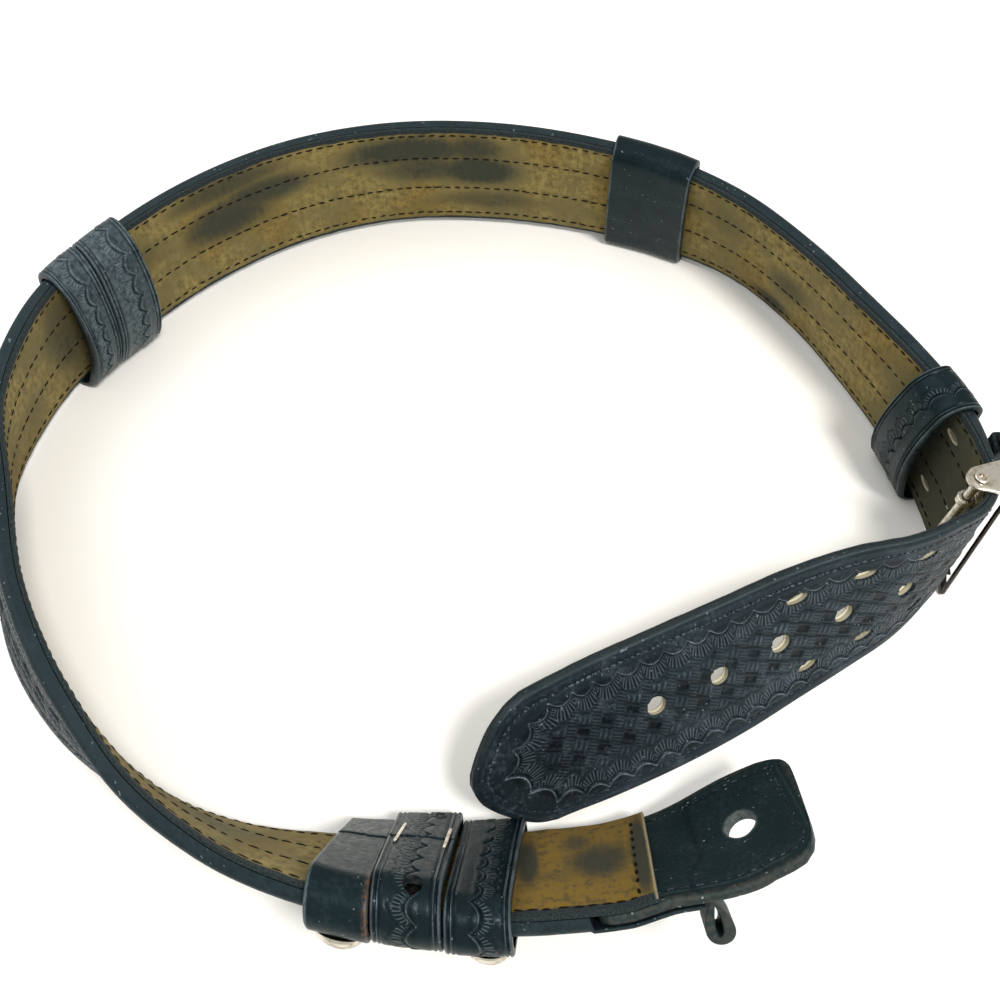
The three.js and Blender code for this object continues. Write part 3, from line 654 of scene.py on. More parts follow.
def outerTool(s, w, t):
    _, wearAndShading, fan = toolingAt(s, w)
    # the body's tooling contrast is raised: brighter painted highlights on ridges, deeper painted shade in
    # hollows
    wearAndShading += outerPly["bodyShadingContrast"] * (wearAndShading - 0.36) * onBody(s)
    rim = rimDistance(s, w)
    face = t > -1.3
    fan[:, 2] *= t > thinned(s, 2.4, -0.2)
    # a painted highlight line along the rounded edge
    wearAndShading = wearAndShading + 0.2 * line(rim - 2.7, 0.9, 0.7)
    wearAndShading = np.where(face, np.clip(wearAndShading + 0.08 * ripple(s, w, 8, 30), 0, 1), 0.3)
    bare = 0.1 * smooth(1.4 - rim) * smooth((s - 900) / 40)
    return np.concatenate([np.stack([wearAndShading, np.where(face | (rim > 6), rim, 0.6), bare], 1), fan], 1)


def punches(steps=28):
    ply = outerPly
    tools = [punch(s, ply["holeAt"], ply["holeSize"], ply["holeSize"], steps=steps)
             for s in ply["roundHoles"]]
    return tools + [punch(s, w, *ply["slotSize"], steps=20) for s in ply["slots"] for w in ply["slotRows"]]


def makeOuterPly():
    ply = outerPly
    body = sheet("strap_body", outerRows(ply["start"], ply["split"], ply["bodyStep"], ply["bodyColumns"]))
    layOnRoute(body, blackLeather, "leather", "outer_strap", tool=outerTool)
    tail = sheet("strap_tail", outerRows(ply["split"], belt["tailTip"], ply["tailStep"], ply["tailColumns"]))
    cutWith(tail, punches())
    layOnRoute(tail, blackLeather, "leather", "outer_strap", tool=outerTool)


makeOuterPly()

# the suede lining

suede = {
    "start": 63.0, "face": -3.5, "tailFace": -3.1, "back": -1.9, "step": 2.0, "columns": 44,
    "margins": (1.9, 54.9), "stitchLines": (4.6, 21.5, 40, 53.6), "stitchRise": 0.16,
    # s, w, half length, half width and strength of each dark patch: real stains, except the patches from s
    # 918 to 960, which are painted shadow of the right keeper
    "stainsAndShadows": [(543, 33, 22, 10, 0.9), (562, 39, 24, 8, 0.85), (546, 50, 30, 6, 0.75), (632, 45, 30, 8, 0.95),
               (452, 34, 13, 26, 0.6), (936, 28, 34, 40, 0.85), (664, 33, 17, 8, 1.1), (640, 34, 24, 8, 0.75),
               (662, 46, 14, 8, 0.8), (669, 14, 28, 6, 0.6), (826, 26, 14, 9, 0.6), (918, 14, 14, 22, 0.8),
               (960, 30, 16, 24, 0.4), (816, 6, 12, 5, 0.8), (103.6, 24, 3.6, 14, 1.1),
               (79.8, 27, 10.5, 11, 0.85), (87, 13, 5, 6, 0.65), (95, 34, 9, 5, 0.35),
               (300, 30, 30, 12, 0.35), (400, 20, 40, 10, 0.3), (500, 36, 20, 8, 0.4),
               (65.7, 28, 2.2, 22, 1.5), (200, 28, 20, 14, 0.4), (780, 40, 20, 10, 0.35)],
}


def suedeRows():
    places = np.arange(suede["start"], belt["tailTip"] - 0.01, suede["step"])
    places = np.append(places, [belt["tailTip"] - 1, belt["tailTip"]])
    rows = []
    for s, low, high in zip(places, *edgesAt(tailRows, belt["tailTip"] - places)):
        w = np.linspace(low, high, suede["columns"])
        rim = np.minimum(w - low, high - w)
        t = suedeFace(s) + 0.4 * (1 - smooth(rim / 1.4)) + 0.12 * ripple(s + 0 * w, w, 12, 9)
        for at in suede["stitchLines"]:
            t += suede["stitchRise"] * np.exp(-((w - at) / 1.1) ** 2)
        w, t = np.append(w, [high, low]), np.append(t, [suede["back"]] * 2)
        rows.append(np.stack([s + 0 * w, t, w], 1))
    return rows


def suedeTool(s, w, t):
    stainAndShadow = np.zeros(len(s))
    for at, across, long, wide, strength in suede["stainsAndShadows"]:
        spot = ((s - at) / long) ** 2 + ((w - across) / wide) ** 2
        stainAndShadow = np.maximum(stainAndShadow, strength * np.exp(-0.7 * spot**1.5))
    low, high = suede["margins"]
    rim = rimDistance(s, w)
    front = smooth((112 - s) / 8)
    margin = np.where(w < belt["width"] / 2, low - rim - 8 * front, belt["width"] - high - rim + 1.8 * front)
    margin += (0.3 + 0.6 * front) * ripple(s, 0.2 * w, 62, 15)
    warm = np.maximum(1 - smooth((s - 120) / 60), 0.35 * smooth(ripple(s, w, 61, 55) * 2 - 0.3))
    return np.stack([stainAndShadow, margin, warm], 1)


suedePiece = sheet("suede_face", suedeRows())
cutWith(suedePiece, punches(20))
layOnRoute(suedePiece, suedeNap, "suede", "suede_lining", tool=suedeTool)
print("plies made")

# stitching

stitching = {
    # the pitch of each kind of row, how proud it stands, and its stitch's length and thickness
    "suede": (4.7, -0.08, 3.3, 0.8), "across": (5.3, -0.1, 2.6, 1.1), "lower": (4.6, 0.02, 3.4, 0.7),
    "upper": (2.5, 0.14, 2.3, 1.0), "tongue": (3.5, -0.12, 2.2, 0.8),
    # the first and last s of each row on the suede; the s, first and last w of the row across its end
    "suedeRows": [(165, 1150), (165, 1140), (165, 1146), (70, 1148)], "acrossRow": (67.4, 8, 51),
    "uneven": (0.12, 0.07), "spacing": 10,
}


def stitchRow(name, places, material, kind):
    # one stitch, a flattened bead, copied to each place: s, w, t and its turn on the strap
    _, proud, long, thick = stitching[kind]
    bead = added(bpy.ops.mesh.primitive_uv_sphere_add, name, segments=8, ring_count=5, radius=0.5,
                 rotation=(0, math.pi / 2, 0))
    bpy.ops.object.transform_apply(rotation=True)
    setPoints(bead, pointsOf(bead) * (long, thick, thick))
    places, spacing = np.array(places, float), stitching["spacing"]
    applyModifier(bead, "ARRAY", count=len(places), use_relative_offset=False, use_constant_offset=True,
                  constant_offset_displace=(spacing, 0, 0))
    many = pointsOf(bead).reshape(len(places), -1, 3)
    many[:, :, 0] -= spacing * np.arange(len(places))[:, None]
    size = 1 + stitching["uneven"][0] * chance.standard_normal((len(places), 1))
    turn = places[:, 3:4] + stitching["uneven"][1] * chance.standard_normal((len(places), 1))
    x, z = many[:, :, 0] * size, many[:, :, 2]
    many[:, :, 0] = x * np.cos(turn) - z * np.sin(turn) + places[:, 0:1]
    many[:, :, 2] = x * np.sin(turn) + z * np.cos(turn) + places[:, 1:2]
    many[:, :, 1] += places[:, 2:3] + proud
    setPoints(bead, many.reshape(-1, 3))
    layOnRoute(bead, material, "leather")


def stitchSuede():
    for number, (w, (start, end)) in enumerate(zip(suede["stitchLines"], stitching["suedeRows"])):
        s = np.arange(start, end, stitching["suede"][0])
        s = s + 0.15 * chance.standard_normal(len(s))
        across = w + 0.12 * chance.standard_normal(len(s))
        places = np.stack([s, across, suede["stitchRise"] + suedeFace(s), 0 * s], 1)
        stitchRow(f"suede_stitches_{number + 1}", places, darkThread, "suede")
    s, start, end = stitching["acrossRow"]
    w = np.arange(start, end, stitching["across"][0])
    w = w + 0.3 * chance.standard_normal(len(w))
    places = np.stack([s + 0.01 * w, w, suede["face"] + 0.1 + 0 * w, np.pi / 2 + 0 * w], 1)
    stitchRow("suede_stitches_across", places, darkThread, "across")


def edgeRow(tip, inSide, pitch):
    # follows the tail's outline a little way in, then the straight edge
    middle = [belt["tailTip"], tailRows[0, 1:].mean()]
    path = np.concatenate([[[90.0, tip[-1, 1]]], tip[::-1], [middle]])
    way = np.gradient(path, axis=0)
    way /= np.linalg.norm(way, axis=1, keepdims=True)
    inward = np.stack([-way[:, 1], way[:, 0]], 1) * inSide
    inward[0], inward[-1] = (0, inSide), (-1, 0)
    path = path + inward * outerPly["stitchIn"]
    run = runOf(path)
    at = np.arange(2, run[-1] - 1, pitch)
    s, w = np.interp(at, run, path[:, 0]), np.interp(at, run, path[:, 1])
    turn = np.arctan2(np.interp(at + 1, run, path[:, 1]) - w, np.interp(at + 1, run, path[:, 0]) - s + 1e-9)
    return np.stack([s, w, outerFace(s) - outerPly["grooveDepth"], turn], 1)


stitchSuede()
stitchRow("face_stitches_lower", edgeRow(tailLow, 1, stitching["lower"][0]), faintThread, "lower")
stitchRow("face_stitches_upper", edgeRow(tailHigh, -1, stitching["upper"][0]), greyThread, "upper")

# the tongue

tongue = {
    "start": 14.7, "root": 84.0, "face": -1.55, "back": 1.7, "round": 1.1, "corner": 6.0, "columns": 58,
    "outline": np.array([(0, 8.5, 13), (0.5, 5.8, 20), (1.7, 3.8, 32.6), (2.7, 2.8, 42.7), (3.7, 2, 49),
                         (5.4, 1.1, 53.3), (9, 0.1, 56.5), (13, 0, 57)]),
    # its s, w, width, height and turn
    "hole": (36.5, 29.1, 10.4, 13.0, 5.0), "stitchIn": 5.6, "fold": 49,
}


def tongueRows():
    start, root, corner = tongue["start"], tongue["root"], tongue["corner"]
    places = np.concatenate([start + np.array([0, 0.2, 0.5, 0.9, 1.3, 1.7, 2.2, 2.7, 3.2, 3.7]),
                             np.arange(19.4, root + 0.01, 0.8)])
    places[-1] = root
    middle = (tongue["face"] + tongue["back"]) / 2
    rows = []
    for s in places:
        back = s - start
        low, high = edgesAt(tongue["outline"], back)
        late = max(0.0, s - (root - corner))
        inset = corner - math.sqrt(max(0.1, corner**2 - late**2))
        low, high = low + inset, high - inset
        end = max(smooth(1 - back / 1.4), 0)
        w, drop = softSection(low, high, tongue["columns"], tongue["round"])
        rim = np.minimum.reduce([w - low, high - w, back + 0 * w + 0.01])
        groove = 0.32 * line(rim - tongue["stitchIn"], 0.9, 0.7)
        crease = 0.25 * line(rim - 3.2, 0.7, 0.5)
        wave = 0.1 * ripple(s + 0 * w, w, 21, 22)
        inner = tongue["face"] + drop + end * 0.5 + groove + crease + wave * smooth(rim / 6)
        inner = np.minimum(inner, middle - 0.2)
        outer = np.maximum(tongue["back"] - drop - end * 0.5, middle + 0.2)
        w2, t2 = np.append(w[::-1][::3], w[0]), np.append(outer[::-1][::3], outer[0])
        rows.append(np.stack([s + 0 * np.append(w, w2), np.append(inner, t2), np.append(w, w2)], 1))
    return rows


def tongueTool(s, w, t):
    rim = np.minimum(np.minimum(w, belt["width"] - w), s - tongue["start"])
    holeS, holeW, wide, high, _ = tongue["hole"]
    # darker along the crease: painted shade
    fold = -0.3 * smooth(1 - np.abs(s - tongue["fold"] - 0.1 * w - 2 * ripple(s, w, 4, 20)) / 1.6)
    hole = np.hypot((s - holeS) / (wide / 2), (w - holeW) / (high / 2))
    lip = smooth((1.25 - hole) / 0.25) * 0.5
    wearAndShading = 0.35 + 0.3 * line(rim - 3.9, 0.5, 0.4) + fold + lip
    return np.stack([np.clip(wearAndShading, 0, 1), rim * 0.55, 0 * t], 1)


def tongueStitches():
    inset, pitch = tongue["stitchIn"], stitching["tongue"][0]
    s = np.arange(tongue["start"] + inset + 1.5, 79, pitch)
    low, high = edgesAt(tongue["outline"], s - tongue["start"])
    w = np.arange(low[0] + inset + 1.5, high[0] - inset - 1, pitch)
    end = tongue["start"] + inset + 0.3
    s, turn = np.concatenate([s, s, end + 0 * w]), np.concatenate([0 * s, 0 * s, np.pi / 2 + 0 * w])
    w = np.concatenate([low + inset, high - inset, w])
    return np.stack([s, w, tongue["face"] + 0.3 + 0 * s, turn], 1)


tonguePiece = sheet("tongue_end", tongueRows())
cutWith(tonguePiece, [punch(*tongue["hole"], steps=48)])
layOnRoute(tonguePiece, tongueLeather, "leather", "tongue", tool=tongueTool)
stitchRow("tongue_stitches", tongueStitches(), faintThread, "tongue")

# keepers

frontKeeper = {"low": -3, "high": 61.5, "outer": 9.2, "wall": 2.3, "corner": 5, "swell": 0.5}
# the left keepers carry a painted sheen level that lightens them to one grey
leftKeeper = {"low": -3.2, "high": 60.9, "inner": -8, "outer": 6.8, "wall": 2.3, "corner": 6.3,
              "cornerHigh": 7.2, "swell": 10, "slant": 0.14, "turn": -1, "sheenLevel": 0.64}
keepers = [
    {**frontKeeper, "name": "keeper_front_right", "start": 106.4, "end": 126.65, "inner": -8.6,
     "cornerHigh": 7.5, "slant": 0.115, "slantEnd": 0.081, "line": 0.6, "turn": -1},
    {**frontKeeper, "name": "keeper_front_middle", "start": 127.15, "end": 147.45, "inner": -11.5,
     "cornerHigh": 9, "slant": 0.081, "slantEnd": 0.016, "line": 0.36, "turn": 1, "crack": 25,
     "hole": (0.4, 56.4, 5.0)},  # share across, w, size
    {**frontKeeper, "name": "keeper_front_left", "start": 147.95, "end": 164, "low": -2.8, "inner": -9,
     "outer": 9.6, "wall": 2, "cornerHigh": 8.5, "slant": 0.016, "slantEnd": 0.03, "turn": 0, "crack": 21,
     "bare": 1.9},
    {**leftKeeper, "name": "keeper_left_front", "start": 454.8, "end": 472.4, "slantEnd": 0.14, "line": 0.64},
    {**leftKeeper, "name": "keeper_left_rear", "start": 472.9, "end": 494, "slantEnd": 0.1, "line": 0.66},
    {"name": "keeper_back", "start": 726.5, "end": 765, "low": -3.1, "high": 60, "inner": -7, "outer": 6.7,
     "wall": 2.4, "corner": 5, "cornerHigh": 5.6, "swell": 1.5, "slant": 0, "slantEnd": 0, "turn": 0},
    {"name": "keeper_right", "start": 904.4, "end": 929, "low": -3.2, "high": 60, "inner": -8, "outer": 6,
     "wall": 2, "corner": 6, "cornerHigh": 6, "swell": 7, "slant": 0.09, "slantEnd": 0, "line": 0.66,
     "turn": -1},
]
# steps round and across a band, the grooves' places and depths, and the rays' reach
keeperTooling = {"aroundStep": 0.6, "acrossStep": 0.42, "grooves": ((1.5, 0.34), (2.9, 0.26)), "rays": 3.6,
                 "edgeRound": 0.9}


def keeperLoop(k, inset, count):
    # evenly spaced points round the keeper's section, each w and t, and the whole length round it
    low, high, inner, outer = k["low"] + inset, k["high"] - inset, k["inner"] + inset, k["outer"] - inset
    r, rHigh = max(k["corner"] - inset, 1), max(k["cornerHigh"] - inset, 1)
    loop = []
    for w, t, r, first in ((low + r, outer - r, r, -90), (high - rHigh, outer - rHigh, rHigh, 0),
                           (high - rHigh, inner + rHigh, rHigh, 90), (low + r, inner + r, r, 180)):
        for angle in np.radians(first + np.linspace(0, 90, 15)):
            loop.append((w + r * math.sin(angle), t + r * math.cos(angle)))
    loop = np.array(loop + loop[:1])
    run = runOf(loop)
    at = np.linspace(0, run[-1], count, endpoint=False)
    w, t = np.interp(at, run, loop[:, 0]), np.interp(at, run, loop[:, 1])
    half = (k["high"] - k["low"]) / 2
    depth = (k["inner"] + k["outer"]) / 2
    bulge = np.clip(1 - ((w - (k["low"] + k["high"]) / 2) / half) ** 2, 0, None)
    share = np.clip((depth - t) / (depth - k["inner"]), 0, 1)
    return np.stack([w, t - k["swell"] * share * bulge], 1), run[-1]


def keeperRelief(k, around, across, width, w, t):
    # around and across are mm on the band's own surface; across runs from its start to its end
    rim = np.minimum(across, width - across)
    relief = 0.05 * ripple(around, across, 33, 11)
    wearAndShading = 0.34 + 0.1 * ripple(around, across, 31, 14)
    fan = np.zeros((len(across), 3))
    if k["turn"]:
        share = (around / border["pitch"]) % 1.0 * 2 - 1
        inward = (across - k["line"] * width) * k["turn"]
        stamp, stampWearAndShading, _, fan = scallops(share, inward, border["pitch"] + 0 * share, keeperTooling["rays"])
        inside = smooth((rim - 3.3) / 0.5)
        fan[:, 2] *= inside
        relief, wearAndShading = relief + stamp * inside, wearAndShading + 0.75 * (stampWearAndShading - wearAndShading) * inside
        for place, deep in keeperTooling["grooves"]:
            groove = line(rim - place, 0.55, 0.4)
            # the grooves are painted darker as shade
            relief, wearAndShading = relief - deep * groove, wearAndShading - 0.3 * groove
        # the ridge between the grooves is lighter: partly wear, partly painted highlight
        wearAndShading = wearAndShading + 0.4 * line(rim - 2.2, 0.45, 0.4)
    # the band's rounded edges are lighter: partly real edge wear, partly painted highlight
    wearAndShading = wearAndShading + 0.4 * line(rim - 0.5, 0.8, 0.7)
    onInner = t < k["inner"] + 2
    if "crack" in k:
        beyond = w - k["crack"] - 0.5 * np.sin(across * 0.45)
        crack = line(beyond, 0.45, 0.3) * onInner
        relief = relief - 0.5 * crack + 0.3 * onInner * (beyond < 0) * smooth(1 + beyond / 12)
        # painted shade in the crack and a painted highlight on its lip
        wearAndShading = wearAndShading - 0.5 * crack + 0.25 * line(beyond + 0.9, 0.5, 0.4) * onInner
    if "sheenLevel" in k:  # lightened to one grey by a painted sheen, with little left of the tooling's contrast
        wearAndShading = k["sheenLevel"] + 0.35 * (wearAndShading - 0.34)
    bare = smooth((k.get("bare", 0) - across) / 0.8) * (w > 50) * (t < k["outer"] - 2)
    return relief, np.clip(wearAndShading, 0, 1), bare, fan


def onBand(k, f, w):  # the place along the strap of a point at share f across a keeper
    slant = k["slant"] + f * (k["slantEnd"] - k["slant"])
    return k["start"] + f * (k["end"] - k["start"]) + slant * (w - belt["width"] / 2)


def makeKeeper(k):
    width = k["end"] - k["start"]
    _, length = keeperLoop(k, 0, 400)
    count = int(length / keeperTooling["aroundStep"])
    outside, _ = keeperLoop(k, 0, count)
    inside, _ = keeperLoop(k, k["wall"], count)
    columns = int(width / keeperTooling["acrossStep"])
    across, drop = softSection(0, width, columns, keeperTooling["edgeRound"], 22.5)
    rim = np.minimum(across, width - across)
    inShare = np.array([1.0, 0.66, 0.33, 0.0])
    f = np.append(across / width, inShare)
    rows, marks = [], []
    for i, (out, into) in enumerate(zip(outside, inside)):
        relief, wearAndShading, bare, fan = keeperRelief(k, i * length / count + 0 * across, across, width, *out)
        depth = (drop - relief) / k["wall"]
        w, t = (np.append(a + (b - a) * depth, b + 0 * inShare) for a, b in zip(out, into))
        rows.append(np.stack([onBand(k, f, w), t, w], 1))
        values = np.concatenate([np.stack([wearAndShading, rim + 0.7, bare], 1), fan], 1)
        marks.append(np.concatenate([values, np.tile([0.2, 3.0, 0, 0, 0, 0], (4, 1))]))
    band = sheet(k["name"] + "_band", rows, along=True, marks=np.array(marks))
    if "hole" in k:
        f, w, size = k["hole"]
        cutWith(band, [punch(onBand(k, f, w), w, size, size * 1.1, t=k["inner"] + 2.5, depth=11)])
        shadeHole(onBand(k, f, w), w - 3.2, k["inner"] + 5)
    layOnRoute(band, keeperLeather, "leather", k["name"])


def shadeHole(s, w, t):  # a dark ball behind the hole, put there as painted shade inside it
    ball = added(bpy.ops.mesh.primitive_uv_sphere_add, "keeper_hole_shade",
                 segments=24, ring_count=14, radius=1)
    flat = pointsOf(ball) * (3, 2, 3.2)
    flat[:, 1] += 0.12 * ripple(flat[:, 0], flat[:, 2], 71, 1.4)
    setPoints(ball, flat + (s, t, w))
    layOnRoute(ball, darkThread, "leather")


for k in keepers:
    makeKeeper(k)
print("keepers made")

# the middle keeper's two thin metal strips, share across, w and length, and its eyelet
keeperMetal = {"strips": ((0.1, 25.5, 15.5), (0.82, 23.0, 17.0)), "wide": 1.1, "thick": 0.6, "slant": 0.1,
               "eyelet": (0.32, 4.5, 1.9, 0.5)}


def makeKeeperMetal():
    k = keepers[1]
    surface = k["inner"] - k["swell"] * 0.96
    for number, (f, w, long) in enumerate(keeperMetal["strips"]):
        strip = added(bpy.ops.mesh.primitive_cube_add, f"keeper_strip_{number + 1}", size=1)
        applyModifier(strip, "BEVEL", width=0.22, segments=3)
        points = pointsOf(strip) * (keeperMetal["wide"], keeperMetal["thick"], long)
        points += (onBand(k, f, w), surface - 0.35, w)
        points[:, 0] += keeperMetal["slant"] * (points[:, 2] - w)
        setPoints(strip, points)
        layOnRoute(strip, nickelPlate, "nickel")
    f, w, size, wire = keeperMetal["eyelet"]
    ring = added(bpy.ops.mesh.primitive_torus_add, "keeper_eyelet", major_segments=36, minor_segments=12,
                 major_radius=size, minor_radius=wire, rotation=(math.pi / 2, 0, 0))
    bpy.ops.object.transform_apply(rotation=True)
    setPoints(ring, pointsOf(ring) + (onBand(k, f, w), k["inner"] - 0.1, w))
    layOnRoute(ring, keeperLeather, "leather")


makeKeeperMetal()

# snaps

snaps = [
    {"name": "snap_front_right", "s": 117.2, "w": 50, "t": 9.5, "radius": 6.5, "height": 3.6},
    {"name": "snap_front_left", "s": 157.2, "w": 50, "t": 9.9, "radius": 6.5, "height": 3.6},
    {"name": "snap_left", "s": 474, "w": 46, "t": 7, "radius": 3.5, "height": 2.8},
]


def makeSnap(snap):
    cap = added(bpy.ops.mesh.primitive_uv_sphere_add, snap["name"] + "_cap", segments=40, ring_count=24,
                radius=1, location=(snap["s"], snap["t"], snap["w"]), rotation=(-math.pi / 2, 0, 0))
    bpy.ops.object.transform_apply(location=False, rotation=True)
    points = pointsOf(cap)
    out = np.clip(points[:, 1], -0.05, 1)
    ring = np.hypot(points[:, 0], points[:, 2])
    rolled = np.where(out > 0, np.minimum(out * 1.15, 1.0), 0) - 0.1 * np.exp(-((ring - 0.78) / 0.06) ** 2)
    points[:, 1] = np.where(points[:, 1] > -0.05, np.maximum(rolled, 0), 0)
    setPoints(cap, points * (snap["radius"], snap["height"], snap["radius"]))
    bpy.ops.object.transform_apply(location=True)
    cleanUp(cap, 1e-3)
    layOnRoute(cap, nickelPlate, "nickel", snap["name"], smoothAngle=50)


for snap in snaps:
    makeSnap(snap)

# the curled strip

curl = {"s": 52.6, "low": 44, "wide": 10, "root": 2.4, "length": 15, "breadth": 7, "thick": 2.6,
        "fullness": 1.15, "drift": 2, "steps": 96, "round": 0.4}


def curlRows():
    turn = np.linspace(0, 2 * np.pi, curl["steps"], endpoint=False)
    depth = (1 - np.cos(turn)) / 2

    def loop(inset):
        half = (curl["breadth"] / 2 - inset) * np.sin(turn) * np.sqrt(np.maximum(depth, 0.02))
        return (curl["s"] + half * curl["fullness"] + curl["drift"] * depth,
                curl["root"] + inset + (curl["length"] - 2 * inset) * depth)

    outS, outT = loop(0)
    inS, inT = loop(curl["thick"])
    r, wide = curl["round"], curl["wide"]
    f = r / curl["thick"]
    steps = list(np.linspace(1, wide - 1, 6))
    profile = [(0, r)] + [(0, x) for x in steps] + [(0, wide - r), (f, wide), (1 - f, wide), (1, wide - r)]
    profile += [(1, x) for x in steps[::-1]] + [(1, r), (1 - f, 0), (f, 0)]
    return [[(outS[i] + (inS[i] - outS[i]) * f, outT[i] + (inT[i] - outT[i]) * f, curl["low"] + w)
             for f, w in profile] for i in range(curl["steps"])]


layOnRoute(sheet("chape_curl", curlRows(), along=True), tongueLeather, "leather", "chape_strip",
           tool=lambda s, w, t: np.stack([0.45 + 0 * s, 3 - 2.4 * (w > 53.4), 0 * t], 1))

# the buckle, in its own plain mm rather than along the strap
buckle = {
    "thick": 2.2, "rail": 3.6, "top": 64.4, "near": (188.5, -1.0), "nearWide": 4.0,
    "farFoot": (181.3, -34.5), "farTop": (185.9, -23.5), "bends": ((183.9, -26, 50), (184.9, -24.4, 58)),
    "barRadius": 0.9, "ears": (2.4, 62.9), "earThick": 1.5, "earRadius": 5.0, "earEnd": 187.0,
    "earFrom": -27.5, "earTo": -11.5, "pin": (174.0, -20.3), "pinRadius": 1.7, "gap": 0.3,
    # heights over an ear's underside, and how far it is drawn in there
    "earSection": ((0, 0.5), (0.12, 0.2), (0.4, 0), (1.1, 0), (1.38, 0.2), (1.5, 0.5)),
    # the pin's two ends and a prong's eye: heights, and how far they stand out from the pin
    "pinFoot": ((-1.2, 0.5), (-1.1, 0.8), (-0.9, 0.9), (-0.4, 0.9), (-0.3, 0)),
    "pinHead": ((-0.1, 0), (0, 0.7), (0.2, 0.9), (0.6, 0.9), (0.85, 0.5), (0.85, -0.1), (0.4, -0.5),
                (-0.6, -0.7)),
    "eye": ((-1.5, 0.8), (-1.2, 1.2), (1.2, 1.2), (1.5, 0.8)),
    "prongRadius": 1.15, "prongSlot": 956.8, "prongTip": 3.6, "tab": (8.0, 58.0), "tabWall": 2.0,
}


def roundBar(radius, steps=24):
    turn = np.linspace(0, 2 * np.pi, steps, endpoint=False)
    return np.stack([radius * np.cos(turn), radius * np.sin(turn)], 1)


def softBox(wide, high, corner, steps=5):  # a rounded rectangle's outline about its middle
    turn = np.linspace(0, np.pi / 2, steps)
    return np.array([(sx * (wide / 2 - corner) + corner * math.cos(a),
                      sy * (high / 2 - corner) + corner * math.sin(a))
                     for sx, sy, first in ((1, 1, 0), (-1, 1, 1), (-1, -1, 2), (1, -1, 3))
                     for a in turn + first * np.pi / 2])


def sweep(name, path, section, side, soft=0.35):
    # carries a section along a line, closing in a little at both ends
    path = np.array(path, float)
    first, last = path[1] - path[0], path[-1] - path[-2]
    first, last = first / np.linalg.norm(first), last / np.linalg.norm(last)
    middles = [path[0], path[0] + first * soft * 0.3, path[0] + first * soft]
    middles += list(path[1:-1]) + [path[-1] - last * soft, path[-1] - last * soft * 0.3, path[-1]]
    reach = np.abs(section).max()
    ends = [1 - soft / reach, 1 - 0.3 * soft / reach]
    sizes = ends + [1] * (len(middles) - 4) + ends[::-1]
    ways = np.gradient(np.array(middles), axis=0)
    rows = []
    for middle, size, way in zip(middles, sizes, ways):
        way = way / np.linalg.norm(way)
        a = np.array(side, float) - way * np.dot(side, way)
        a /= np.linalg.norm(a)
        b = np.cross(way, a)
        rows.append(middle + size * (section[:, :1] * a + section[:, 1:] * b))
    return sheet(name, rows)


def drill(place, radius, low, high):
    tool = added(bpy.ops.mesh.primitive_cylinder_add, vertices=36, radius=radius, depth=high - low,
                 location=(*place, (low + high) / 2))
    bpy.ops.object.transform_apply(location=True)
    return tool


def turned(name, place, profile, steps=36):  # rings of the given height and radius about an upright line
    ring = roundBar(1.0, steps)
    return sheet(name, [[(place[0] + r * x, place[1] + r * y, z) for x, y in ring] for z, r in profile])


def setInFrame(obj, material, slot, node, smoothAngle=35):
    points = pointsOf(obj)
    points[:, :2] -= belt["centre"]
    setPoints(obj, points / 1000)
    finishPiece(obj, material, slot, node, smoothAngle=smoothAngle)


def makeEar(level):
    b = buckle
    turn = np.linspace(np.pi * 0.55, np.pi * 1.4, 26)
    outline = [b["pin"] + b["earRadius"] * np.array([math.cos(a), math.sin(a)]) for a in turn]
    outline = np.array(outline + [(b["earEnd"] - 1.5, b["earFrom"]), (b["earEnd"], b["earTo"])])
    middle = outline.mean(0)
    rows = []
    for height, inset in b["earSection"]:
        flat = middle + (outline - middle) * (1 - inset / 7)
        rows.append(np.column_stack([flat, np.full(len(flat), level + height)]))
    ear = sheet("ear", rows)
    cutWith(ear, [drill(b["pin"], b["pinRadius"] + b["gap"], level - 2, level + 4)])
    return ear


def makeFrame():
    b = buckle
    foot, near = (*b["farFoot"], b["rail"] / 2), (*b["near"], b["rail"] / 2)
    headTall = b["top"] - b["ears"][1] + 1.5
    head, nearHead = (*b["farTop"], b["top"] - headTall / 2), (*b["near"], b["top"] - headTall / 2)
    body = sweep("buckle_loop", [foot, near], softBox(b["thick"], b["rail"], 0.6), (1, 0.2, 0))
    upper = sweep("upper", [head, nearHead], softBox(b["thick"], headTall, 0.6), (1, 0.2, 0))
    side = sweep("side", [(*b["near"], 0.1), (*b["near"], b["top"] - 0.1)],
                 softBox(b["nearWide"], b["thick"], 0.5), (0, 1, 0))
    bar = sweep("bar", [foot, *b["bends"], head], roundBar(b["barRadius"]), (1, 0, 0), 0.2)
    for part in [upper, side, bar] + [makeEar(level) for level in b["ears"]]:
        combine(body, "UNION", part)
    setInFrame(body, nickelPlate, "nickel", "buckle_frame")


def makePin():
    low, high = buckle["ears"]
    top, r = high + buckle["earThick"] + buckle["gap"], buckle["pinRadius"]
    profile = [(low + z, r + out) for z, out in buckle["pinFoot"]]
    profile += [(top + z, r + out) for z, out in buckle["pinHead"]]
    setInFrame(turned("buckle_hinge_pin", buckle["pin"], profile), nickelPlate, "nickel", "buckle_pin")


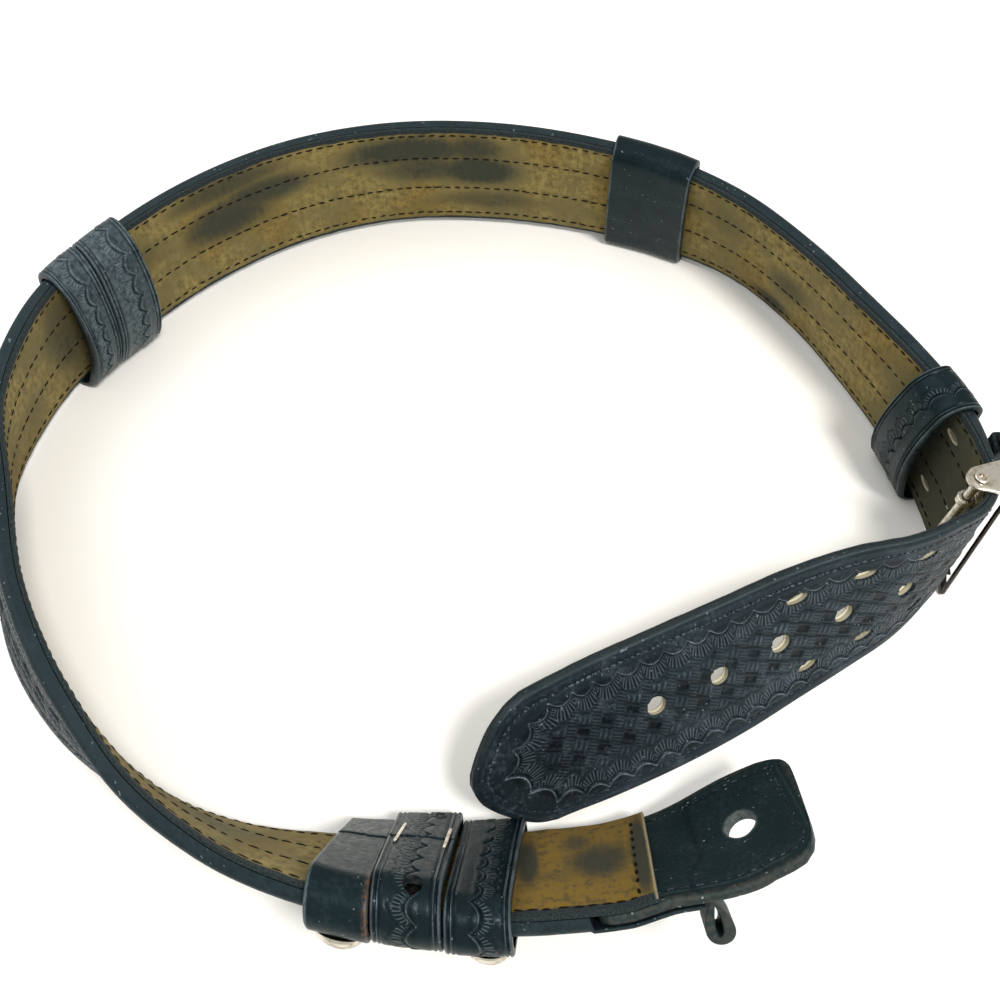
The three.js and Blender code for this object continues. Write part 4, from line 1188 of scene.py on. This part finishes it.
def makeProng(name, w):
    tip = laidOut(np.array([[buckle["prongSlot"], buckle["prongTip"], w]]))[0] * 1000
    tip[:2] += belt["centre"]
    pin, level = buckle["pin"], tip[2]
    start = np.array([*pin, level])
    reach = np.linalg.norm(tip - start)
    way = (tip - start) / reach
    r = buckle["pinRadius"] + buckle["gap"]
    eye = turned(name + "_body", pin, [(level + z, r + out) for z, out in buckle["eye"]])
    path = [start + way * d for d in np.linspace(r + 0.4, reach, 8)]
    combine(eye, "UNION", sweep("rod", path, roundBar(buckle["prongRadius"]), (0, 0, 1), 0.5))
    cutWith(eye, [drill(pin, r, level - 4, level + 4)])
    setInFrame(eye, nickelPlate, "nickel", name)


def makeTab():
    # the leather sleeve round the frame's near bar
    b, (low, high) = buckle, buckle["tab"]
    wide, deep, wall = b["thick"] + 2 * b["gap"], b["nearWide"] + 2 * b["gap"], b["tabWall"]
    bore, outer = softBox(wide, deep, 0.25, 9), softBox(wide + 2 * wall, deep + 2 * wall, wall, 9)
    levels = np.linspace(low + 0.5, high - 0.5, 40)
    rows = []
    for inside, outside in zip(bore, outer):
        mid = inside + (outside - inside) * 0.72
        row = [(*mid, low)] + [(*outside, z) for z in levels] + [(*mid, high)]
        rows.append(row + [(*inside, z) for z in (high - 0.3, (low + high) / 2, low + 0.3)])
    rows = np.array(rows)
    rows[:, :, :2] += b["near"]
    face = rows[:, 1:-4]
    dent = 0.12 * ripple(face[:, :, 2], face[:, :, 1] * 3, 51, 9)
    face[:, :, 0] -= np.sign(face[:, :, 0] - b["near"][0]) * (0.12 + dent)
    setInFrame(sheet("buckle_leather_tab", rows, along=True), tabLeather, "leather", "buckle_tab", 50)


makeFrame()
makePin()
makeProng("buckle_prong_upper", outerPly["slotRows"][1])
makeProng("buckle_prong_lower", outerPly["slotRows"][0])
makeTab()
print("buckle made")

# table, light and camera

studio = {
    "table": (247, 246, 242), "tableCloud": (250, 249, 246), "tableSize": 6.0, "tableLevel": -0.0002,
    # place, size, power and colour of each light
    "lights": {"key_window": ((0.5, -0.55, 1.5), 0.4, 21, (1.0, 0.97, 0.92)),
               "room_fill": ((-0.9, 0.5, 1.4), 1.6, 10, (0.95, 0.97, 1.0))},
    "sky": (1.0, 0.99, 0.95, 1.0), "skyPower": 0.72,
    "cameraAt": (0.010565, -0.198715, 0.357), "cameraTilt": 30.0, "lens": 36.0, "sensor": 36.0,
    "clipStart": 0.01,
}


def makeTable():
    table = added(bpy.ops.mesh.primitive_plane_add, "pale_table", size=studio["tableSize"],
                  location=(0, 0, studio["tableLevel"]))
    material, tree = newFinish("paleTable")
    cloud = between(noise(objectPlace(tree), 0.004, 3), 0.4, 0.6)
    base = layered(studio["table"], [(cloud, studio["tableCloud"])])
    table.data.materials.append(dressed(material, {"Base Color": base, "Roughness": 0.65}))


def setUp(data, at, tilt, turn=0.0):  # a light or the camera in its place
    obj = bpy.data.objects.new(data.name, data)
    bpy.context.scene.collection.objects.link(obj)
    obj.location, obj.rotation_euler = at, (tilt, 0, turn)
    return obj


def makeCamera():
    data = bpy.data.cameras.new("photo_camera")
    data.lens, data.sensor_width, data.clip_start = studio["lens"], studio["sensor"], studio["clipStart"]
    bpy.context.scene.camera = setUp(data, studio["cameraAt"], math.radians(studio["cameraTilt"]))


def lightRoom():  # round lamps aimed at the middle of the belt, and an even sky
    for name, (at, size, power, tone) in studio["lights"].items():
        data = bpy.data.lights.new(name, "AREA")
        data.shape, data.size, data.energy, data.color = "DISK", size, power, tone
        x, y, z = at
        setUp(data, at, math.atan2(math.hypot(x, y), z), math.atan2(-y, -x) - math.pi / 2)
    world = bpy.data.worlds.new("soft_room")
    world.use_nodes = True
    background = world.node_tree.nodes["Background"]
    background.inputs["Color"].default_value = studio["sky"]
    background.inputs["Strength"].default_value = studio["skyPower"]
    bpy.context.scene.world = world
    bpy.context.scene.view_settings.view_transform = "Standard"


makeTable()
lightRoom()
makeCamera()
print("studio set")
